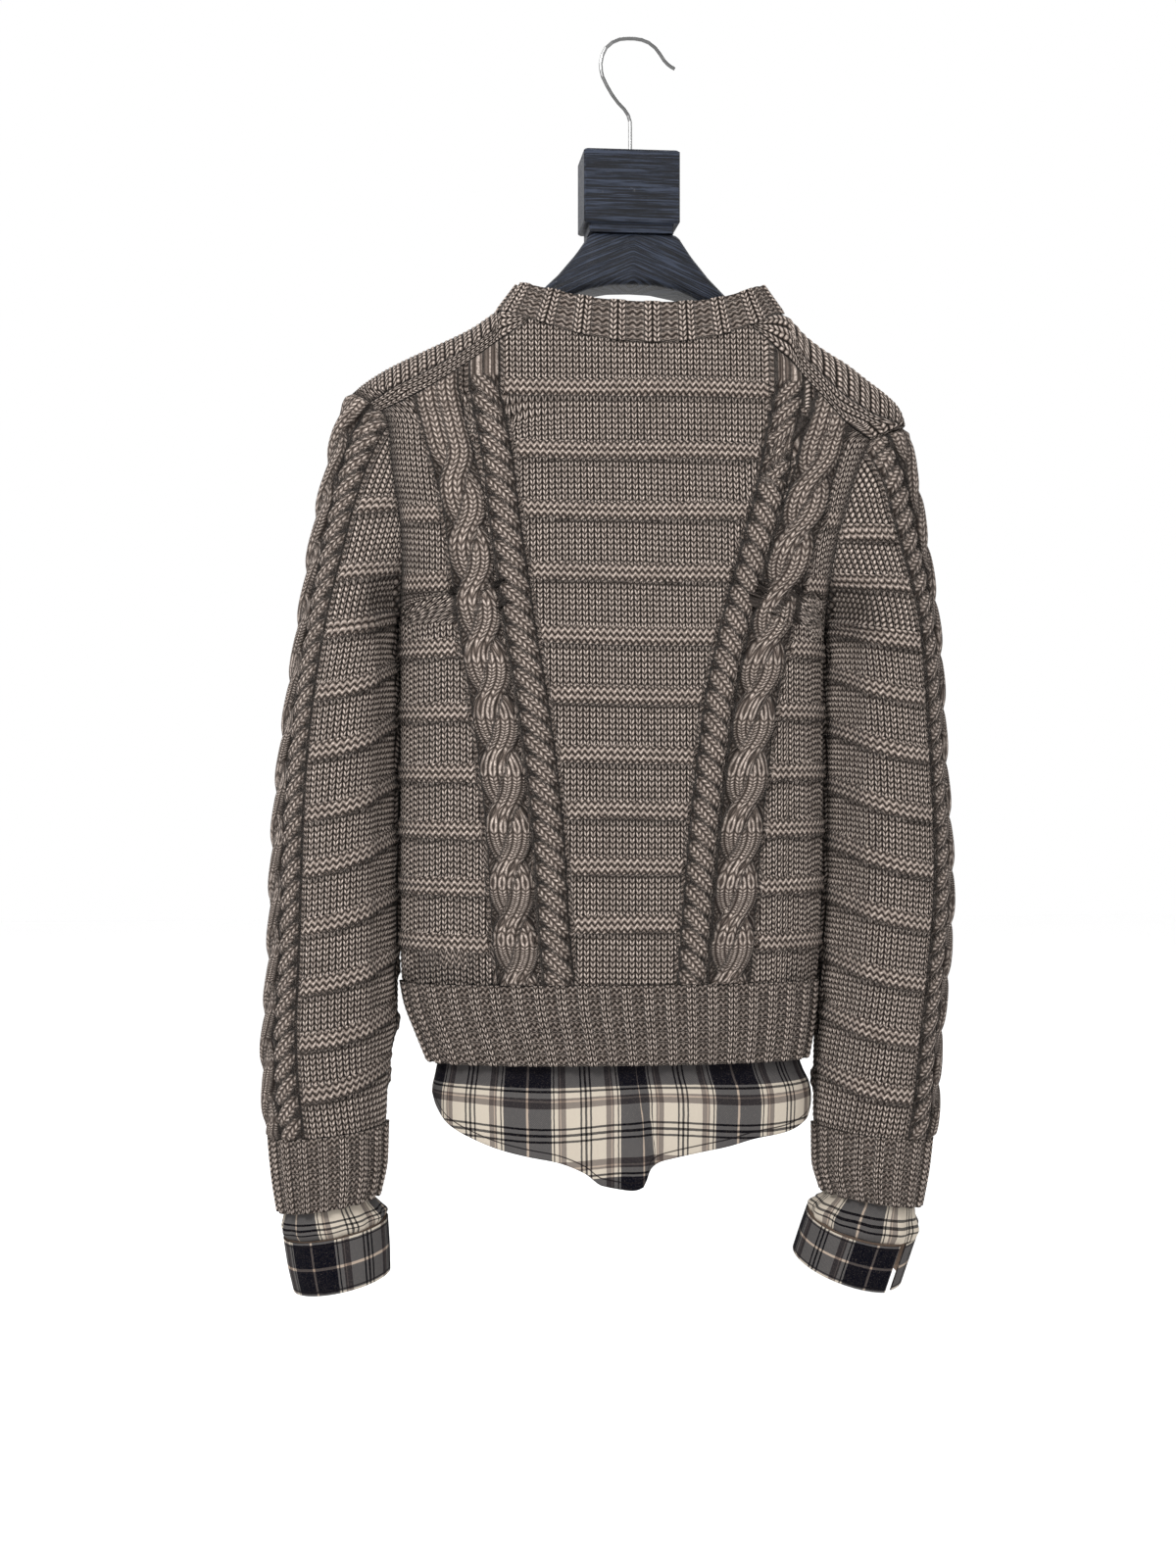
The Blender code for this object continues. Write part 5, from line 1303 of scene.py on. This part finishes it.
def tube(name, look, surface, turn, rows, step, data_at, rise_at=no_rise, coarse=6, level=None, ring=True):
    """A wall round a surface(u, v) with its rise and cloth data at each place, over a plain inside."""
    thick = SHIRT_WALL if look == "cotton" else KNIT_WALL
    wall = Wall()
    outer, inner = [], []
    u = np.broadcast_to(turn, (len(rows), len(turn)))
    v = np.broadcast_to(np.asarray(rows, float)[:, None], u.shape)
    point = surface(u, v)
    out = normals(surface, u, v, *step)
    if level is not None:
        level_end(out, level)
    last = len(turn) - 1
    share = np.broadcast_to(np.arange(last + 1) / (last + 1), u.shape)
    face = point + out * rise_at(share, v)[..., None]
    cloth = data_at(share, v, face)
    rows_in = sorted(set(range(0, len(rows), 3)) | {len(rows) - 1})
    for k in range(last + 1):
        place = (turn[k] - turn[0]) / math.tau
        outer.append(wall.line(face[:, k], -v[:, k], place, cloth[:, k]))
        if k % coarse == 0 or (k == last and not ring):
            inside = point[rows_in, k] - out[rows_in, k] * thick
            inner.append(wall.line(inside, -v[rows_in, k], place))
    wall.close(outer, inner, 1.0 if ring else False)
    wrap = float(cloth[0, -1, 0] - cloth[0, 0, 0]) * (last + 1) / last if ring else 0.0
    return wall.build(name + ("_cloth" if look == "cotton" else "_knit"), name, look, wrap)


def even_turn(surface, row, count, start=-math.pi):
    """Places round a tube that are evenly apart along its cloth at one row."""
    turn = start + np.linspace(0, math.tau, 1441)
    length = lengths(surface(turn, np.full_like(turn, row)))
    return np.interp(np.arange(count) / count * length[-1], length, turn)


def rib_parts(share, ribs):
    """Wale number round a rib of two knit and two purl wales, and how far it stands up."""
    across = share * ribs * 4
    f = (across / 4) % 1.0
    up = smooth(-0.02, 0.07, f) * (1 - smooth(0.43, 0.52, f)) + smooth(0.98, 1.05, f)
    return across, np.clip(up, 0, 1)


def rib_rise(ribs, long, course=COURSE):
    """Rise of a rib whose rows run from 0 at its seam to its full length in mm."""
    def rise(share, v):
        across, up = rib_parts(share, ribs)
        along = long(v) / course
        stitch = stitch_height(across, along - LEAN * stitch_leg(across))
        purl = 0.25 * np.sin(math.tau * along)
        return up * (RIB_RISE + 0.9 * (stitch - 0.4)) + (1 - up) * purl
    return rise


def rib_data(ribs, long, course=COURSE):
    def data(share, v, face):
        across, up = rib_parts(share, ribs)
        along = long(v) / course
        ridge = np.where(up > 0.5, PLAIN, (along % 2 - 1) * 0.66)
        # the fourth number is painted shade in the sunk purl wales
        return np.stack([across, along, ridge, (1 - up) * 0.45], -1)
    return data


def hem_rib():
    rows = HEM_SEAM - SEAM_HALF - np.linspace(0, 61.6, 30)

    def long(v):
        return HEM_SEAM - v
    return tube("hem_rib", "wool", hem_surface, even_turn(hem_surface, -760.0, HEM_RIBS * 16), rows,
                (0.01, 0.8), rib_data(HEM_RIBS, long), rib_rise(HEM_RIBS, long), level=0)


def cuff_rib(side):
    table = SLEEVES[side]
    top, bottom = table[-3, 0] - SEAM_HALF, table[-1, 0]

    def surface(u, v):
        return sleeve_point(side, u / math.pi * side, v)

    def long(v):
        return top - v
    name = "cuff_rib_" + SIDES[side]
    return tube(name, "wool", surface, even_turn(surface, (top + bottom) / 2, CUFF_RIBS * 16),
                np.linspace(top, bottom, 28), (0.01, 0.8), rib_data(CUFF_RIBS, long),
                rib_rise(CUFF_RIBS, long), level=0)


def neck_depth_table():
    angle = np.linspace(-math.pi * 1.5, math.pi * 1.5, 541)
    x, z = neck_seam(angle)
    s = s_of_x(x, z)
    sign = np.where(np.cos(angle) > 0, -1.0, 1.0)
    return angle, body_point(s, sign * way_down(s, z))[:, 1]


NECK_ANGLE, NECK_DEPTH = neck_depth_table()


def band_point(angle, rise):
    """Point of the neckband: rise 0 at its seam, 1 at its top edge."""
    angle, rise = np.broadcast_arrays(np.asarray(angle, float), np.asarray(rise, float))
    x, z = neck_seam(angle)
    y = np.interp(angle, NECK_ANGLE, NECK_DEPTH)
    back, front = np.clip(np.cos(angle), 0, 1), np.clip(-np.cos(angle), 0, 1)
    side = np.abs(np.sin(angle)) ** 2
    height = BAND_RISE_BACK * back ** 2 + BAND_RISE_FRONT * front ** 2 + BAND_RISE_SIDE * side
    x = x - rise * BAND_LEAN_SIDE * side * np.sign(np.sin(angle))
    y = y * (1 - rise * BAND_LEAN_BACK * 0.02)
    return np.stack([x, y, z + height * rise], -1)


def neckband():
    def long(v):
        return v * -BAND_RISE_BACK
    return tube("neckband", "wool", band_point, even_turn(band_point, 0.5, NECK_RIBS * 16, -math.pi + 0.1),
                np.linspace(1.0, -0.02, 16), (0.01, 0.03), rib_data(NECK_RIBS, long),
                rib_rise(NECK_RIBS, long), level=-1)


# ---- shirt pieces ----

# where the plaid lies: place of the middle of a navy stripe across, and height of the edge of a navy band
TAIL_WARP_AT = -87.0
TAIL_WEFT_AT = -807.0
TAIL_MARK = -42.0
# cloth that the tail's sharp fold takes up, in mm
FOLD_SHARP = 12.0


def plaid_data(across, down, edge, shade=0.0):
    return np.stack([across, down, edge, shade + 0 * across], -1)


def tail_data(front):
    def data(u, v, face):
        length = lengths(face[:, :, :2])
        middle_row = len(length) * 2 // 3
        row = length[middle_row]
        middle = np.interp(TAIL_MARK, face[middle_row, :, 0] * (-1 if front else 1), row)
        across = np.broadcast_to(row - middle, u.shape) + TAIL_MARK - TAIL_WARP_AT
        if not front:
            across = across + FOLD_SHARP * smooth(-1, 7, face[..., 0] - fold_line(face[..., 2]))
        z = face[..., 2]
        wave = 2.6 * np.sin(face[..., 0] / 26.0 + 1.2) * smooth(-790, -830, z)
        down = TAIL_WEFT_AT - z + wave + NAVY_HALF
        low = face[-1:, :, 2]
        edge = (z - low) * 0.92
        # the fourth number is painted shadow of the hem rib on the top of the tail
        return plaid_data(across, down, edge, 0.45 * smooth(-816, -788, z))
    return data


def shirt_tail(front):
    name = "shirt_tail_front" if front else "shirt_tail_back"
    places = np.linspace(-math.pi / 2 + 0.0035, math.pi / 2 - 0.0035, 201)
    if front:
        places = places + math.pi
    return tube(name, "cotton", tail_surface(front), places, -np.linspace(0, 1, 46), (0.01, 0.02),
                tail_data(front), coarse=2, ring=False)


def even_cloth(face, at_x):
    """Place round a tube of cloth, in mm from its back line at that x."""
    row = face[len(face) // 2]
    length = lengths(row)
    back = np.where(row[:, 1] < row[:, 1].mean(), 0.0, 1e3)
    return length - length[np.argmin(np.abs(row[:, 0] - at_x) + back)]


def band_data(at_x):
    """A navy band of the weft runs along the cuff, and a navy stripe of the warp stands at that x."""
    def data(u, v, face):
        across = np.broadcast_to(even_cloth(face, at_x), u.shape)
        down = (v + 1) * -20.0
        edge = np.minimum(v + 2.0, -v) * 20.0 + 2.2
        return plaid_data(across, down, edge)
    return data


def end_data(at_x):
    def data(u, v, face):
        across = np.broadcast_to(even_cloth(face, at_x), u.shape)
        # the fourth number is painted shade under the knit cuff at the shirt end's top
        return plaid_data(across, v * -9.0 + 30.0, 30.0 + 0 * u, 0.3 * smooth(-2.2, -1.0, v))
    return data


def shirt_end(side):
    table = SHIRT_END_LEFT if side < 0 else SHIRT_END_RIGHT
    name = "shirt_end_" + SIDES[side]
    turn = -math.pi + np.arange(GATHERS * 16) * math.tau / (GATHERS * 16)
    return tube(name, "cotton", cuff_surface(table, 0.04), turn, np.linspace(0, -4, 21), (0.01, 0.03),
                end_data(-262.0 if side < 0 else 176.0), coarse=2)


def cuff_band(side):
    """The left shirt cuff is a closed ring and the right one is open."""
    closed = side < 0
    start = math.radians(BAND_RIGHT_START)
    turn = (-math.pi + np.arange(180) * math.tau / 180 if closed
            else np.linspace(start + math.radians(BAND_RIGHT_TURN), start, 180))
    return tube("cuff_band_" + SIDES[side], "cotton", cuff_surface(BAND_LEFT) if closed else open_band, turn,
                np.linspace(0, -2, 15), (0.01, 0.03), band_data(-248.4 if closed else 181.9),
                coarse=3, ring=closed)


# ---- hanger ----

MITRE_X = -2.0


def hanger_arms():
    """Both arms as one piece of wood, rounded along their edges, with the grain along each arm."""
    x = np.linspace(ARMS[0, 0], ARMS[-1, 0], 150)
    keys = ARMS[:, 0]
    outer = []
    for at in x:
        top, bottom, half = (np.interp(at, keys, ARMS[:, c]) for c in (1, 2, 3))
        middle, tall = (top + bottom) / 2, (top - bottom) / 2
        corner = min(7.0, tall * 0.8)
        ring = []
        for sy, sz, turn in ((1, 1, 0), (-1, 1, 90), (-1, -1, 180), (1, -1, 270)):
            for step in (0, 15, 30, 45, 60, 75, 90):
                angle = math.radians(turn + step)
                ring.append((at, sy * (half - corner) + corner * math.cos(angle),
                             middle + sz * (tall - corner) + corner * math.sin(angle)))
        ring = np.array(ring)
        away = abs(at - MITRE_X)
        slope = 0.42
        data = np.stack([np.full(len(ring), at), ring[:, 2] + slope * away + 0.15 * ring[:, 1],
                         0 * ring[:, 0], 0 * ring[:, 0]], -1)
        outer.append((ring, data))
    points = np.concatenate([ring for ring, _ in outer])
    data = np.concatenate([d for _, d in outer])
    count = len(outer[0][0])
    faces = []
    for k in range(len(outer) - 1):
        for i in range(count):
            j = (i + 1) % count
            a, b, c, d = k * count + i, k * count + j, (k + 1) * count + j, (k + 1) * count + i
            faces += [(a, b, c), (a, c, d)]
    for base, flip in ((0, True), ((len(outer) - 1) * count, False)):
        for i in range(1, count - 1):
            face = (base, base + i, base + i + 1)
            faces.append(face[::-1] if flip else face)
    points = (points - (0, 0, HOOK_SEAT_DROP)) * MM
    return make_piece("hanger_arms_wood", "hanger_arms", points, faces, "wood", data)


def repaint():
    """The block and the wire keep their solids and take their better materials."""
    for node, look in (("hanger_block", "block"), ("hanger_hook", "steel")):
        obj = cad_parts[node]
        obj.data.materials.clear()
        obj.data.materials.append(LOOKS[look][0])


def block_wood():
    look = Look("black block wood", 0.5)
    place = look.place((1000.0, 1000.0, 1000.0))
    split = look.tree.nodes.new("ShaderNodeSeparateXYZ")
    look.tree.links.new(place, split.inputs[0])
    x, y, z = (Sum(look.tree, split.outputs[k]) for k in range(3))
    grain = look.noise(look.vector(x * 0.02, y * 0.3, z * 0.75), 1.0, 4.0, 0.7)
    pores = grain.over(0.44, 0.60)
    scuff = look.noise(look.place(), 90.0, 3.0, 0.7).over(0.68, 0.78)
    base = look.blend(STAIN_DARK, STAIN_LIGHT, pores)
    tone = look.blend(base, (0.16, 0.16, 0.17), scuff * 0.6)
    look.shader.inputs["Specular IOR Level"].default_value = 0.22
    return look.finish(tone, look.bump(pores, 0.0006, 0.6))


LOOKS["block"] = (block_wood(), "hanger_wood")


# ---- studio ----

AIM = (-0.0349, 0.0, -0.5855)
CAMERA_AWAY, CAMERA_TURN = 1.8, math.radians(6.0)
# studio lights: name, place, size, power
LIGHTS = (("key", (-1.1, -1.5, 0.75), 0.7, 50.0), ("fill", (1.5, -1.3, -0.1), 1.4, 10.0),
          ("rim", (0.3, 1.4, 0.8), 1.2, 14.0))


def studio():
    scene = bpy.context.scene
    world = bpy.data.worlds.new("pale studio")
    scene.world = world
    world.use_nodes = True
    back = world.node_tree.nodes["Background"]
    back.inputs[0].default_value = (1.0, 1.0, 1.0, 1.0)
    back.inputs[1].default_value = 1.0
    scene.view_settings.view_transform = "Standard"
    for name, at, size, power in LIGHTS:
        light = bpy.data.lights.new(name, "AREA")
        light.energy = power
        light.size = size
        obj = bpy.data.objects.new(name, light)
        scene.collection.objects.link(obj)
        obj.location = at
        aim(obj, AIM)
    camera = bpy.data.objects.new("camera", bpy.data.cameras.new("camera"))
    scene.collection.objects.link(camera)
    camera.data.lens = 52.6
    camera.data.sensor_fit = "VERTICAL"
    camera.data.sensor_height = 36.0
    camera.data.clip_start = 0.05
    camera.location = (AIM[0] - CAMERA_AWAY * math.sin(CAMERA_TURN),
                       -CAMERA_AWAY * math.cos(CAMERA_TURN), AIM[2])
    camera.rotation_euler = (math.radians(90), 0.0, -CAMERA_TURN)
    scene.camera = camera


def aim(obj, target):
    way = Vector(target) - obj.location
    obj.rotation_euler = way.to_track_quat("-Z", "Y").to_euler()


def floor():
    low = CAD_BOX[0][2] - 0.06
    mesh = bpy.data.meshes.new("studio_floor")
    corners = [(x, y, low) for x, y in ((-6.0, -6.0), (6.0, -6.0), (6.0, 6.0), (-6.0, 6.0))]
    mesh.from_pydata(corners, [], [(0, 1, 2, 3)])
    obj = bpy.data.objects.new("studio_floor", mesh)
    bpy.context.scene.collection.objects.link(obj)
    look = Look("pale floor", 0.9)
    look.shader.inputs["Base Color"].default_value = (0.98, 0.98, 0.98, 1.0)
    obj.data.materials.append(look.material)


def main():
    for front in (False, True):
        body_panel(front)
        shirt_tail(front)
    for side, name in SIDES.items():
        shoulder_strip(side)
        sleeve(side)
        cuff_rib(side)
        shirt_end(side)
    neckband()
    hem_rib()
    cuff_band(-1)
    cuff_band(1)
    hanger_arms()
    repaint()
    floor()
    studio()


main()
